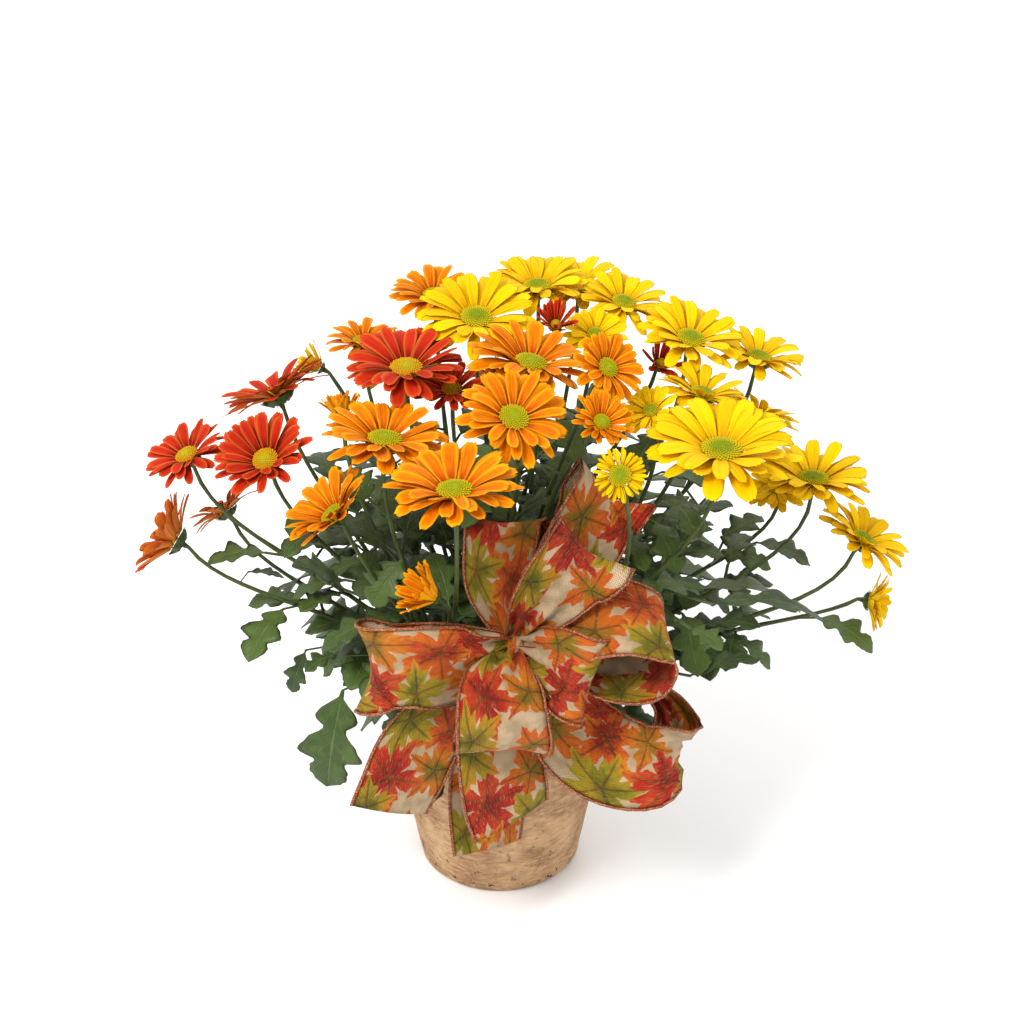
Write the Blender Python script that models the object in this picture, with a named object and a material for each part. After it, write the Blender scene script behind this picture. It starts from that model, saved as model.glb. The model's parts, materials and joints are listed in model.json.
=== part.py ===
"""A pot chrysanthemum in a fibre pot, with heads of three colours and a wired ribbon bow."""

import math
import random
from collections import namedtuple

import bmesh
import bpy
import numpy as np
from mathutils.bvhtree import BVHTree

MM = 0.001
GAP = 0.3
SEED = 23

# The view that the photograph was taken from, in mm, degrees and picture points.
EYE = np.array([9.0, -1200.0, 940.0])
VIEW_PITCH = 28.8
VIEW_FOCAL = 2025.0
VIEW_CENTRE = 512.0

# The pot and its soil, in mm.
POT_BASE_RADIUS = 58.0
POT_RIM_RADIUS = 80.0
POT_HEIGHT = 122.0
POT_WALL = 4.0
POT_FLOOR = 6.0
POT_SIDES = 32
SOIL_EDGE_HEIGHT = 104.0
SOIL_MOUND_HEIGHT = 110.0
STUMP_RADIUS = 3.6
STUMP_FOOT_HEIGHT = 88.0
CROWN_HEIGHT = 121.0

# The heads, in mm.
DISC_SHARE = 0.26
DISC_HALF = 1.2
DOME_HEIGHT = 3.0
PETAL_THICKNESS = 0.9
WIDEST_AT = 0.62
NECK_LENGTH = 5.0
CUP_SHARE = 0.30
STEM_FOOT_RADIUS = 2.2
STEM_NECK_RADIUS = 1.5
STEM_SIDES = 5

# The leaves, as shares of the length or of the greatest half width.
BLADE_FROM = 0.26
LEAF_HALF = (
    (0.40, 0.62),
    (0.47, 0.32),
    (0.64, 1.00),
    (0.71, 0.44),
    (0.86, 0.56),
)
LEAF_SPACING = 185.0
LEAF_WIDTH_SHARE = 0.26
PETIOLE_HALF = 1.1
MIDRIB_HALF = 0.9

# The ribbon and what carries it, in mm.
RIBBON_WIDTH = 63.5
RIBBON_THICKNESS = 0.8
KNOT_RADIUS = 9.0
NECK_RADIUS = 4.0
NECK_BEHIND = 11.5
TIE_WIRE_RADIUS = 0.6
PICK_RADIUS = 2.0
PICK_FOOT = (22.0, -52.0, 80.0)
BOW_SEEN = (520.0, 640.0, 165.0, 160.0)
BOW_BACK = -88.0

Bloom = namedtuple("Bloom", "name across down depth radius azimuth elevation form petals plant")
Plant = namedtuple("Plant", "name x y")
Leaf = namedtuple("Leaf", "plant across down depth tip_across tip_down tip_depth half_width")
Station = namedtuple("Station", "across down depth wx wy wz width")

# The crown of each plant, in mm from the middle of the pot.
PLANTS = (
    Plant("red_left", -45.0, 2.0),
    Plant("orange_left", -34.0, -32.0),
    Plant("orange_front", -4.0, -26.0),
    Plant("red_middle", -8.0, 6.0),
    Plant("orange_back", -24.0, 38.0),
    Plant("yellow_back", 16.0, 36.0),
    Plant("yellow_right", 44.0, 12.0),
    Plant("yellow_front", 40.0, -28.0),
)

# Each head: where its disc is seen, how far back it stands, its radius in mm, the way it
# faces (azimuth round the pot, with -90 toward the view, and elevation), and its plant.
BLOOMS = (
    Bloom("yellow_01", 477, 314, 14, 40, -78, 73, "open", 14, "yellow_back"),
    Bloom("yellow_02", 537, 282, 80, 37, -151, 86, "open", 14, "yellow_back"),
    Bloom("yellow_03", 579, 283, 116, 37, -15, 87, "open", 14, "yellow_back"),
    Bloom("yellow_04", 625, 299, 64, 32, -45, 75, "open", 12, "yellow_back"),
    Bloom("yellow_05", 692, 335, 20, 36, -48, 72, "open", 12, "yellow_right"),
    Bloom("yellow_06", 760, 353, 42, 33, -5, 78, "open", 12, "yellow_right"),
    Bloom("yellow_07", 704, 389, -34, 30, 4, 77, "open", 12, "yellow_right"),
    Bloom("yellow_08", 722, 446, -100, 48, -84, 82, "open", 14, "yellow_front"),
    Bloom("yellow_09", 814, 475, -34, 39, 2, 88, "open", 14, "yellow_front"),
    Bloom("yellow_10", 866, 536, -34, 33, -5, 61, "open", 12, "yellow_front"),
    Bloom("yellow_11", 876, 602, -20, 21, -22, 2, "cup", 10, "yellow_front"),
    Bloom("yellow_12", 620, 475, -132, 17, -90, 30, "open", 10, "yellow_front"),
    Bloom("yellow_13", 650, 408, -62, 19, -130, 60, "open", 10, "yellow_right"),
    Bloom("yellow_14", 776, 484, 0, 22, -120, 60, "open", 10, "yellow_right"),
    Bloom("yellow_15", 314, 364, 60, 14, 175, 31, "half", 8, "orange_back"),
    Bloom("yellow_16", 596, 332, 16, 22, -80, 62, "open", 10, "yellow_back"),
    Bloom("yellow_17", 760, 410, 110, 31, 40, 56, "open", 12, "yellow_right"),
    Bloom("orange_01", 434, 292, 58, 30, -99, 78, "open", 12, "orange_back"),
    Bloom("orange_02", 363, 337, 62, 27, 123, 88, "open", 10, "orange_back"),
    Bloom("orange_03", 532, 359, -46, 40, -19, 77, "open", 14, "orange_front"),
    Bloom("orange_04", 515, 415, -112, 35, -63, 60, "open", 12, "orange_front"),
    Bloom("orange_05", 610, 366, -68, 25, -49, 44, "open", 10, "orange_front"),
    Bloom("orange_06", 603, 420, -106, 20, -64, 54, "cup", 10, "orange_front"),
    Bloom("orange_07", 385, 435, -96, 40, -9, 84, "open", 14, "orange_left"),
    Bloom("orange_08", 454, 486, -172, 40, -133, 86, "open", 14, "orange_left"),
    Bloom("orange_09", 330, 511, -118, 31, -170, 54, "cup", 12, "orange_left"),
    Bloom("orange_10", 428, 594, -150, 18, -165, 40, "half", 10, "orange_left"),
    Bloom("orange_11", 341, 410, -30, 14, 112, 75, "half", 8, "orange_left"),
    Bloom("orange_12", 400, 372, 120, 30, 118, 58, "open", 12, "orange_back"),
    Bloom("red_01", 406, 364, -30, 39, -88, 82, "open", 14, "red_middle"),
    Bloom("red_02", 452, 386, -22, 25, -88, 78, "open", 10, "red_middle"),
    Bloom("red_03", 274, 389, 6, 39, 147, 60, "open", 14, "red_left"),
    Bloom("red_04", 264, 457, -62, 32, -116, 61, "cup", 12, "red_left"),
    Bloom("red_05", 185, 452, -28, 29, -149, 67, "open", 12, "red_left"),
    Bloom("red_06", 170, 537, -20, 33, 171, 29, "cup", 12, "red_left"),
    Bloom("red_07", 222, 506, 26, 27, 150, 46, "open", 10, "red_left"),
    Bloom("red_08", 556, 322, 4, 14, -90, 60, "half", 8, "red_middle"),
    Bloom("red_09", 662, 362, 40, 16, -70, 46, "half", 8, "red_middle"),
    Bloom("red_10", 500, 372, 140, 29, 92, 60, "open", 12, "red_middle"),
)

# Leaves seen at the edge of the plant: the foot of the blade, then its tip.
LEAVES = (
    Leaf("orange_left", 343, 690, -66, 328, 786, -66, 23),
    Leaf("orange_left", 306, 650, -40, 292, 692, -40, 9),
    Leaf("orange_left", 338, 655, -58, 305, 672, -70, 11),
    Leaf("red_left", 305, 602, -10, 248, 606, -14, 15),
    Leaf("orange_left", 345, 590, -70, 292, 566, -80, 22),
    Leaf("red_left", 248, 572, -14, 284, 578, -14, 6),
    Leaf("yellow_front", 712, 604, -84, 826, 622, -60, 15),
    Leaf("yellow_front", 690, 676, -90, 760, 660, -80, 12),
    Leaf("yellow_front", 690, 628, -104, 722, 650, -118, 12),
    Leaf("yellow_right", 722, 560, -10, 772, 574, -20, 16),
    Leaf("yellow_front", 700, 512, -86, 664, 500, -90, 13),
    Leaf("yellow_front", 700, 588, -70, 800, 612, -30, 16),
    Leaf("orange_left", 402, 560, -96, 372, 606, -108, 16),
    Leaf("orange_left", 370, 500, -76, 346, 470, -70, 13),
)

# The ribbon: the loops and the tails, each from the knot outwards, by where the middle of
# the ribbon is seen, how far back it is, the way its width runs and its share of the width.
KNOT = (514, 642, -124)
RIBBON = {
    "loop_left": (
        Station(500, 650, -128, 0.1, 0.0, 1.0, 0.18),
        Station(466, 668, -148, 0.05, 0.0, 1.0, 0.82),
        Station(418, 669, -162, 0.0, -0.1, 1.0, 0.95),
        Station(372, 669, -156, 0.0, -0.15, 1.0, 0.93),
        Station(366, 667, -140, 0.0, -0.15, 1.0, 0.93),
        Station(400, 666, -122, 0.0, 0.0, 1.0, 0.92),
        Station(460, 656, -118, 0.0, 0.0, 1.0, 0.72),
        Station(506, 646, -121, 0.1, 0.0, 1.0, 0.18),
    ),
    "loop_down": (
        Station(512, 650, -130, 1.0, 0.0, 0.0, 0.18),
        Station(505, 680, -158, 0.95, 0.2, -0.2, 0.78),
        Station(503, 712, -176, 0.88, 0.35, -0.25, 0.93),
        Station(503, 738, -176, 0.86, 0.45, -0.25, 0.94),
        Station(503, 740, -153, 0.86, 0.45, -0.25, 0.94),
        Station(508, 705, -138, 0.95, 0.2, -0.1, 0.76),
        Station(513, 655, -124, 1.0, 0.0, 0.0, 0.18),
    ),
    "loop_right_low": (
        Station(522, 647, -130, 0.4, -0.2, 0.9, 0.18),
        Station(548, 660, -150, 0.4, -0.2, 0.9, 0.70),
        Station(574, 674, -162, 0.35, -0.1, 0.92, 0.92),
        Station(586, 678, -151, 0.32, -0.07, 0.95, 0.94),
        Station(566, 672, -136, 0.35, 0.0, 0.92, 0.84),
        Station(524, 650, -124, 0.4, 0.0, 0.9, 0.18),
    ),
    "loop_right": (
        Station(524, 641, -126, -0.2, 0.9, 0.4, 0.18),
        Station(578, 622, -136, -0.2, 0.9, 0.4, 0.86),
        Station(632, 618, -136, -0.2, 0.92, 0.35, 0.98),
        Station(667, 634, -134, -0.1, 0.94, 0.3, 0.98),
        Station(660, 658, -134, -0.05, 0.95, 0.25, 0.96),
        Station(610, 668, -126, -0.1, 0.9, 0.4, 0.78),
        Station(526, 647, -121, -0.2, 0.9, 0.4, 0.18),
    ),
    "loop_up_left": (
        Station(510, 634, -121, 0.8, -0.5, 0.1, 0.18),
        Station(500, 596, -108, 0.8, -0.5, 0.1, 0.66),
        Station(500, 552, -88, 0.78, -0.55, 0.3, 0.92),
        Station(505, 520, -76, 0.76, -0.57, 0.32, 0.94),
        Station(515, 532, -68, 0.76, -0.57, 0.32, 0.92),
        Station(512, 588, -96, 0.8, -0.5, 0.2, 0.68),
        Station(512, 630, -112, 0.8, -0.5, 0.1, 0.18),
    ),
    "loop_up_right": (
        Station(520, 634, -128, 0.85, -0.1, -0.45, 0.18),
        Station(546, 602, -142, 0.78, 0.0, -0.55, 0.66),
        Station(577, 569, -138, 0.72, 0.2, -0.62, 0.88),
        Station(591, 553, -122, 0.68, 0.33, -0.65, 0.92),
        Station(572, 570, -114, 0.72, 0.2, -0.62, 0.84),
        Station(522, 632, -120, 0.85, -0.1, -0.45, 0.18),
    ),
    "loop_top": (
        Station(518, 632, -118, 0.85, 0.1, -0.5, 0.18),
        Station(560, 582, -104, 0.78, 0.2, -0.58, 0.74),
        Station(594, 524, -88, 0.68, 0.35, -0.64, 0.94),
        Station(609, 496, -76, 0.62, 0.42, -0.66, 0.96),
        Station(594, 524, -64, 0.68, 0.35, -0.64, 0.92),
        Station(552, 585, -86, 0.8, 0.2, -0.56, 0.72),
        Station(515, 634, -112, 0.85, 0.1, -0.5, 0.18),
    ),
    "tail_left": (
        Station(504, 650, -118, 0.8, 0.0, -0.5, 0.18),
        Station(466, 694, -132, 0.75, 0.15, -0.55, 0.72),
        Station(424, 740, -148, 0.68, 0.35, -0.6, 0.94),
        Station(402, 784, -158, 0.64, 0.43, -0.63, 1.0),
        Station(391, 811, -164, 0.64, 0.43, -0.63, 1.0),
    ),
    "tail_middle": (
        Station(512, 654, -118, 1.0, 0.0, 0.0, 0.18),
        Station(504, 700, -114, 0.95, 0.2, -0.05, 0.70),
        Station(499, 748, -128, 0.88, 0.42, -0.2, 0.93),
        Station(505, 790, -134, 0.86, 0.42, -0.25, 0.94),
        Station(511, 820, -132, 0.78, 0.5, -0.35, 0.92),
    ),
    "tail_low": (
        Station(516, 654, -112, 1.0, 0.0, 0.0, 0.18),
        Station(502, 716, -99, 0.95, 0.1, -0.1, 0.70),
        Station(490, 776, -98, 0.85, 0.3, -0.35, 0.90),
        Station(488, 826, -106, 0.75, 0.4, -0.5, 0.92),
        Station(489, 848, -112, 0.7, 0.42, -0.55, 0.92),
    ),
    "tail_right": (
        Station(524, 652, -118, 0.5, 0.0, 0.9, 0.18),
        Station(556, 702, -118, 0.5, 0.3, 0.8, 0.72),
        Station(582, 740, -124, 0.5, 0.4, 0.76, 0.92),
        Station(618, 762, -134, 0.2, 0.5, 0.84, 0.92),
        Station(654, 766, -136, 0.1, 0.5, 0.84, 0.84),
        Station(678, 748, -122, 0.3, 0.5, 0.8, 0.70),
        Station(674, 718, -104, 0.8, 0.3, 0.5, 0.42),
        Station(664, 695, -98, 0.9, 0.1, 0.3, 0.10),
    ),
}

FORMS = {
    "open": (30.0, 14.0, 10.0, -8.0),
    "cup": (42.0, 34.0, 26.0, 16.0),
    "half": (62.0, 64.0, 48.0, 50.0),
}

COLOURS = {
    "pot_fibre": (0.33, 0.20, 0.10),
    "potting_soil": (0.06, 0.04, 0.03),
    "green_stem": (0.10, 0.16, 0.04),
    "petal_yellow": (0.90, 0.62, 0.01),
    "petal_orange": (0.75, 0.22, 0.01),
    "petal_red": (0.55, 0.07, 0.02),
    "printed_ribbon": (0.52, 0.22, 0.08),
    "tie_wire": (0.20, 0.13, 0.07),
    "pick_wood": (0.55, 0.40, 0.22),
}


def unit(vector):
    vector = np.asarray(vector, float)
    return vector / np.linalg.norm(vector)


def sight(across, down, depth):
    """The point in mm seen at this place of the view, on the upright plane y = depth."""
    pitch = math.radians(VIEW_PITCH)
    ahead = np.array([0.0, math.cos(pitch), -math.sin(pitch)])
    up = np.array([0.0, math.sin(pitch), math.cos(pitch)])
    ray = ahead + up * (VIEW_CENTRE - down) / VIEW_FOCAL
    ray[0] += (across - VIEW_CENTRE) / VIEW_FOCAL
    return EYE + ray * (depth - EYE[1]) / ray[1]


def hides_bow(points):
    """Whether any of the points stands before the ribbon, where it is seen."""
    pitch = math.radians(VIEW_PITCH)
    ahead = np.array([0.0, math.cos(pitch), -math.sin(pitch)])
    up = np.array([0.0, math.sin(pitch), math.cos(pitch)])
    way = np.asarray(points, float) - EYE
    far = way @ ahead
    across = VIEW_CENTRE + VIEW_FOCAL * way[:, 0] / far - BOW_SEEN[0]
    down = VIEW_CENTRE - VIEW_FOCAL * (way @ up) / far - BOW_SEEN[1]
    near = (across / BOW_SEEN[2]) ** 2 + (down / BOW_SEEN[3]) ** 2 < 1.0
    return bool(np.any(near & (np.asarray(points)[:, 1] < BOW_BACK)))


def facing(azimuth, elevation):
    around = math.radians(azimuth)
    above = math.radians(elevation)
    level = math.cos(above)
    return np.array([level * math.cos(around), level * math.sin(around), math.sin(above)])


def frame_of(axis, spin=0.0):
    """Three rows: two directions square to the axis, turned by spin, then the axis."""
    axis = unit(axis)
    side = np.cross([0.0, 0.0, 1.0], axis)
    if np.linalg.norm(side) < 1e-6:
        side = np.array([1.0, 0.0, 0.0])
    side = unit(side)
    other = np.cross(axis, side)
    first = side * math.cos(spin) + other * math.sin(spin)
    return np.array([first, np.cross(axis, first), axis])


def sweep(points, radii, sides, apex=0.0):
    """A closed tube through the points; its last end rises to a point by apex."""
    points = np.asarray(points, float)
    tangents = []
    for place in range(len(points)):
        before = points[place] - points[max(place - 1, 0)]
        after = points[min(place + 1, len(points) - 1)] - points[place]
        tangent = unit(before) if np.linalg.norm(before) > 1e-6 else np.zeros(3)
        tangent = tangent + (unit(after) if np.linalg.norm(after) > 1e-6 else np.zeros(3))
        tangents.append(unit(tangent))
    first = frame_of(tangents[0])[0]
    rows = []
    for point, tangent, radius in zip(points, tangents, radii):
        first = unit(first - tangent * np.dot(first, tangent))
        second = np.cross(tangent, first)
        turns = np.arange(sides) * math.tau / sides
        ring = np.outer(np.cos(turns), first) + np.outer(np.sin(turns), second)
        rows.append(point + ring * radius)
    corners = np.vstack(rows + [points[:1], points[-1:] + tangents[-1] * apex])
    faces = []
    for row in range(len(points) - 1):
        for side in range(sides):
            low = row * sides + side
            low_next = row * sides + (side + 1) % sides
            faces.append((low, low_next, low_next + sides, low + sides))
    last = (len(points) - 1) * sides
    foot = len(points) * sides
    for side in range(sides):
        faces.append((foot, (side + 1) % sides, side))
        faces.append((foot + 1, last + side, last + (side + 1) % sides))
    return corners, faces


def head_mesh(bloom, rng):
    """The petals of one head in two layers round its domed disc."""
    disc = DISC_SHARE * bloom.radius
    count = bloom.petals
    upper_root, upper_tip, lower_root, lower_tip = FORMS[bloom.form]
    corners = []
    for column in range(count):
        turn = column * math.tau / count
        out = np.array([math.cos(turn), math.sin(turn), 0.0])
        for height in (-2 * DISC_HALF, -DISC_HALF, 0.0):
            corners.append(out * disc + np.array([0.0, 0.0, height]))
    dome = len(corners)
    corners.append(np.array([0.0, 0.0, DOME_HEIGHT]))
    corners.append(np.array([0.0, 0.0, -2 * DISC_HALF]))
    faces = []
    for column in range(count):
        here = 3 * column
        there = 3 * ((column + 1) % count)
        faces.append((here + 2, there + 2, dome))
        faces.append((there, here, dome + 1))
        upper = column % 2 == 0
        plain = 0 if upper else 1
        faces.append((here + plain, there + plain, there + plain + 1, here + plain + 1))
        low = 1 if upper else 0
        root = (here + low, there + low, there + low + 1, here + low + 1)
        rise = (upper_root if upper else lower_root) + rng.uniform(-2.0, 2.0)
        fall = (upper_tip if upper else lower_tip) + rng.uniform(-5.0, 5.0)
        spread = math.radians((lower_root + lower_tip) / 2)
        length = (bloom.radius - disc) / math.cos(spread)
        length *= rng.uniform(0.93, 1.03) if upper else rng.uniform(0.97, 1.07)
        twist = math.radians(rng.uniform(-7.0, 7.0))
        turn = (column + 0.5) * math.tau / count
        out = np.array([math.cos(turn), math.sin(turn), 0.0])
        across = np.array([-math.sin(turn), math.cos(turn), 0.0])
        top = np.array([0.0, 0.0, 1.0])
        first = out * math.cos(math.radians(rise)) + top * math.sin(math.radians(rise))
        second = out * math.cos(math.radians(fall)) + top * math.sin(math.radians(fall))
        start = np.mean([corners[index] for index in root], axis=0)
        middle = start + first * length * WIDEST_AT
        tip = middle + second * length * (1 - WIDEST_AT)
        half = 1.12 * math.pi * np.linalg.norm(middle[:2]) / count
        half = min(half, 0.24 * bloom.radius)
        normal = np.cross(first, across)
        wide = across * math.cos(twist) + normal * math.sin(twist)
        thick = normal * PETAL_THICKNESS / 2
        base = len(corners)
        corners += [
            middle - wide * half - thick,
            middle + wide * half - thick,
            middle + wide * half + thick,
            middle - wide * half + thick,
            tip - wide * half * 0.5,
            tip + wide * half * 0.5,
        ]
        faces += petal_faces(root, tuple(range(base, base + 6)))
    return np.array(corners), faces


def petal_faces(root, far):
    r0, r1, r2, r3 = root
    m0, m1, m2, m3, t0, t1 = far
    return [
        (r0, r1, m1),
        (r0, m1, m0),
        (r1, r2, m2),
        (r1, m2, m1),
        (r2, r3, m2),
        (r3, m3, m2),
        (r3, r0, m0),
        (r3, m0, m3),
        (m0, m1, t1),
        (m0, t1, t0),
        (m2, m3, t1),
        (m3, t0, t1),
        (m1, m2, t1),
        (m3, m0, t0),
    ]


def bloom_place(bloom):
    """The middle of the disc's rim, and the frame of the head."""
    rng = random.Random(SEED + sum(map(ord, bloom.name)) * 7)
    axis = facing(bloom.azimuth, bloom.elevation)
    seen = sight(bloom.across, bloom.down, bloom.depth)
    return seen - axis * 2.5, frame_of(axis, rng.uniform(0, math.tau)), rng


def placed_head(bloom):
    middle, frame, rng = bloom_place(bloom)
    corners, faces = head_mesh(bloom, rng)
    return middle + corners @ frame, faces


def stem_points(controls):
    """The corners of the bent stem, from the crown to the neck."""
    return bezier(controls, (0.0, 0.3, 0.55, 0.78, 1.0))


def stem_point(controls, share):
    points = stem_points(controls)
    place = min(share, 0.999) * (len(points) - 1)
    cell = int(place)
    return points[cell] + (points[cell + 1] - points[cell]) * (place - cell)


def bezier(controls, places):
    p0, p1, p2, p3 = controls
    t = np.asarray(places)[:, None]
    s = 1 - t
    return s**3 * p0 + 3 * s * s * t * p1 + 3 * s * t * t * p2 + t**3 * p3


def stem_controls(bloom, plant, shift):
    """The curve from the crown to the neck under the head."""
    middle, frame, _ = bloom_place(bloom)
    axis = frame[2]
    cup = CUP_SHARE * bloom.radius
    neck = middle - axis * (2 * DISC_HALF + GAP + 0.42 * cup + NECK_LENGTH)
    foot = np.array([plant.x, plant.y, CROWN_HEIGHT - 6.0])
    reach = np.linalg.norm(neck - foot)
    up = np.array([0.0, 0.0, 1.0])
    first = foot + up * 0.36 * reach + unit(neck - foot) * 0.06 * reach + shift[0]
    second = neck - axis * 0.15 * reach - up * 0.14 * reach + shift[1]
    return foot, first, second, neck


def stem_mesh(bloom, controls, extra=0.0):
    """The stem with the green cup that carries the head."""
    middle, frame, _ = bloom_place(bloom)
    axis = frame[2]
    cup = CUP_SHARE * bloom.radius
    points = list(stem_points(controls))
    radii = list(np.linspace(STEM_FOOT_RADIUS, STEM_NECK_RADIUS, len(points)) + extra)
    seat = 2 * DISC_HALF + GAP
    for height, radius in ((-seat - 0.42 * cup, 0.74 * cup), (-seat, cup)):
        points.append(middle + axis * height)
        radii.append(radius)
    return sweep(points, radii, STEM_SIDES)


def shaft_mesh(controls, extra):
    """The bare stem without its head, a little thick, to try what it would cross."""
    points = stem_points(controls)
    return sweep(points, [STEM_FOOT_RADIUS + extra] * len(points), 5)


def leaf_mesh(foot, base, tip, half_width, hint, extra=0.0):
    """A lobed blade, thick along its midrib and sharp at its edge, on its petiole."""
    foot, base, tip = (np.asarray(point, float) for point in (foot, base, tip))
    along = unit(tip - base)
    side = unit(np.cross(along, hint))
    normal = np.cross(side, along)
    length = np.linalg.norm(tip - base)

    def middle(share):
        if share <= BLADE_FROM:
            return foot + (base - foot) * share / BLADE_FROM
        far = (share - BLADE_FROM) / (1 - BLADE_FROM)
        return base + (tip - base) * far + normal * 0.10 * length * math.sin(math.pi * far)

    petiole = PETIOLE_HALF + extra
    rib = MIDRIB_HALF + extra
    stations = [(0.0, petiole), (BLADE_FROM, petiole)]
    stations += [(share, half * half_width + extra) for share, half in LEAF_HALF]
    corners = []
    for share, half in stations:
        lift = 0.16 * half if half > 2 * petiole else 0.0
        corners.append(middle(share) + side * half + normal * lift)
        corners.append(middle(share) - side * half + normal * lift)
    tip_index = len(corners)
    corners.append(middle(1.0))
    top = len(corners)
    for share in (0.0, BLADE_FROM, LEAF_HALF[1][0], LEAF_HALF[3][0]):
        corners.append(middle(share) + normal * rib)
    under = len(corners)
    for share in (0.0, BLADE_FROM, LEAF_HALF[1][0], LEAF_HALF[3][0]):
        corners.append(middle(share) - normal * rib)
    faces = []
    for hand in (0, 1):
        edge = [2 * place + hand for place in range(7)] + [tip_index]
        for mid, flip in ((top, hand == 1), (under, hand == 0)):
            some = [
                (mid, mid + 1, edge[1]),
                (mid, edge[1], edge[0]),
                (mid + 1, edge[2], edge[1]),
                (mid + 1, mid + 2, edge[2]),
                (mid + 2, edge[3], edge[2]),
                (mid + 2, edge[4], edge[3]),
                (mid + 2, mid + 3, edge[4]),
                (mid + 3, edge[5], edge[4]),
                (mid + 3, edge[6], edge[5]),
                (mid + 3, edge[7], edge[6]),
            ]
            faces += [face[::-1] if flip else face for face in some]
    faces.append((0, top, 1))
    faces.append((0, 1, under))
    return np.array(corners), faces


def smooth_path(stations, count):
    """The middle, the way of the width and its size at count places along the ribbon."""
    keys = [np.append(sight(s.across, s.down, s.depth), [s.wx, s.wy, s.wz, s.width])
            for s in stations]
    keys = np.array(keys)
    pinched = keys[:, 6] < 0.2
    keys[pinched, :3] = sight(*KNOT) + 0.15 * (keys[pinched, :3] - sight(*KNOT))
    spans = np.linalg.norm(np.diff(keys[:, :3], axis=0), axis=1)
    places = np.concatenate([[0.0], np.cumsum(spans)]) / spans.sum()
    slopes = np.gradient(keys, places, axis=0)
    rows = []
    for place in np.linspace(0.0, 1.0, count):
        cell = min(np.searchsorted(places, place, side="right") - 1, len(places) - 2)
        span = places[cell + 1] - places[cell]
        t = (place - places[cell]) / span
        rows.append(
            (2 * t**3 - 3 * t**2 + 1) * keys[cell]
            + (t**3 - 2 * t**2 + t) * span * slopes[cell]
            + (3 * t**2 - 2 * t**3) * keys[cell + 1]
            + (t**3 - t**2) * span * slopes[cell + 1]
        )
    rows = np.array(rows)
    middles = rows[:, :3]
    tangents = np.gradient(middles, axis=0)
    tangents /= np.linalg.norm(tangents, axis=1)[:, None]
    wide = rows[:, 3:6]
    wide = wide - tangents * (wide * tangents).sum(axis=1)[:, None]
    wide /= np.linalg.norm(wide, axis=1)[:, None]
    return middles, wide, np.cross(tangents, wide), np.clip(rows[:, 6], 0.14, 1.0)


def ribbon_mesh(stations, count, thickness):
    """One length of the ribbon as a closed strip."""
    middles, wide, normals, shares = smooth_path(stations, count)
    half = wide * (shares * RIBBON_WIDTH / 2)[:, None]
    thick = normals * thickness / 2
    corners = np.stack(
        [middles - half - thick, middles + half - thick, middles + half + thick,
         middles - half + thick],
        axis=1,
    ).reshape(-1, 3)
    faces = [(3, 2, 1, 0)]
    for row in range(count - 1):
        here = 4 * row
        faces += [
            (here, here + 1, here + 5),
            (here, here + 5, here + 4),
            (here + 1, here + 2, here + 6),
            (here + 1, here + 6, here + 5),
            (here + 2, here + 3, here + 6),
            (here + 3, here + 7, here + 6),
            (here + 3, here, here + 4),
            (here + 3, here + 4, here + 7),
        ]
    last = 4 * (count - 1)
    faces.append((last, last + 1, last + 2, last + 3))
    return corners, faces


def tree_of(mesh):
    corners, faces = mesh
    return BVHTree.FromPolygons([tuple(point) for point in corners], faces)


def crosses(mesh, trees):
    mine = tree_of(mesh)
    return any(mine.overlap(tree) for tree in trees)


def add_object(name, mesh, material):
    """A closed object facing out, from corners in mm."""
    corners, faces = mesh
    data = bpy.data.meshes.new(name)
    data.from_pydata([tuple(point * MM) for point in corners], [], faces)
    shape = bmesh.new()
    shape.from_mesh(data)
    bmesh.ops.recalc_face_normals(shape, faces=shape.faces[:])
    shape.to_mesh(data)
    shape.free()
    data.materials.append(material)
    data.shade_smooth()
    data.set_sharp_from_angle(angle=math.radians(40))
    made = bpy.data.objects.new(name, data)
    bpy.context.scene.collection.objects.link(made)
    return made


def turned_mesh(profile, sides):
    """A solid turned round the upright axis from (radius, height) pairs."""
    corners = []
    rows = []
    for radius, height in profile:
        if radius == 0:
            rows.append([len(corners)] * sides)
            corners.append((0.0, 0.0, height))
            continue
        rows.append(list(range(len(corners), len(corners) + sides)))
        for side in range(sides):
            turn = side * math.tau / sides
            corners.append((radius * math.cos(turn), radius * math.sin(turn), height))
    faces = []
    for below, above in zip(rows, rows[1:]):
        for side in range(sides):
            face = [below[side], below[(side + 1) % sides], above[(side + 1) % sides], above[side]]
            face = [index for place, index in enumerate(face) if index not in face[:place]]
            if len(face) > 2:
                faces.append(tuple(face))
    return np.array(corners), faces


def merge(target, others, operation, solver="MANIFOLD"):
    """Joins the others to the target, or cuts them out of it, and removes them."""
    group = bpy.data.collections.new(target.name + "_others")
    bpy.context.scene.collection.children.link(group)
    for other in others:
        bpy.context.scene.collection.objects.unlink(other)
        group.objects.link(other)
    change = target.modifiers.new("merge", "BOOLEAN")
    change.operation = operation
    change.operand_type = "COLLECTION"
    change.collection = group
    change.solver = solver
    bpy.context.view_layer.update()
    graph = bpy.context.evaluated_depsgraph_get()
    made = bpy.data.meshes.new_from_object(target.evaluated_get(graph))
    target.modifiers.remove(change)
    target.data = made
    for other in others:
        bpy.data.objects.remove(other)
    bpy.data.collections.remove(group)


def material_of(name):
    material = bpy.data.materials.new(name)
    material.use_nodes = True
    shader = material.node_tree.nodes["Principled BSDF"]
    shader.inputs["Base Color"].default_value = (*COLOURS[name], 1.0)
    shader.inputs["Roughness"].default_value = 0.6
    return material


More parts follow.
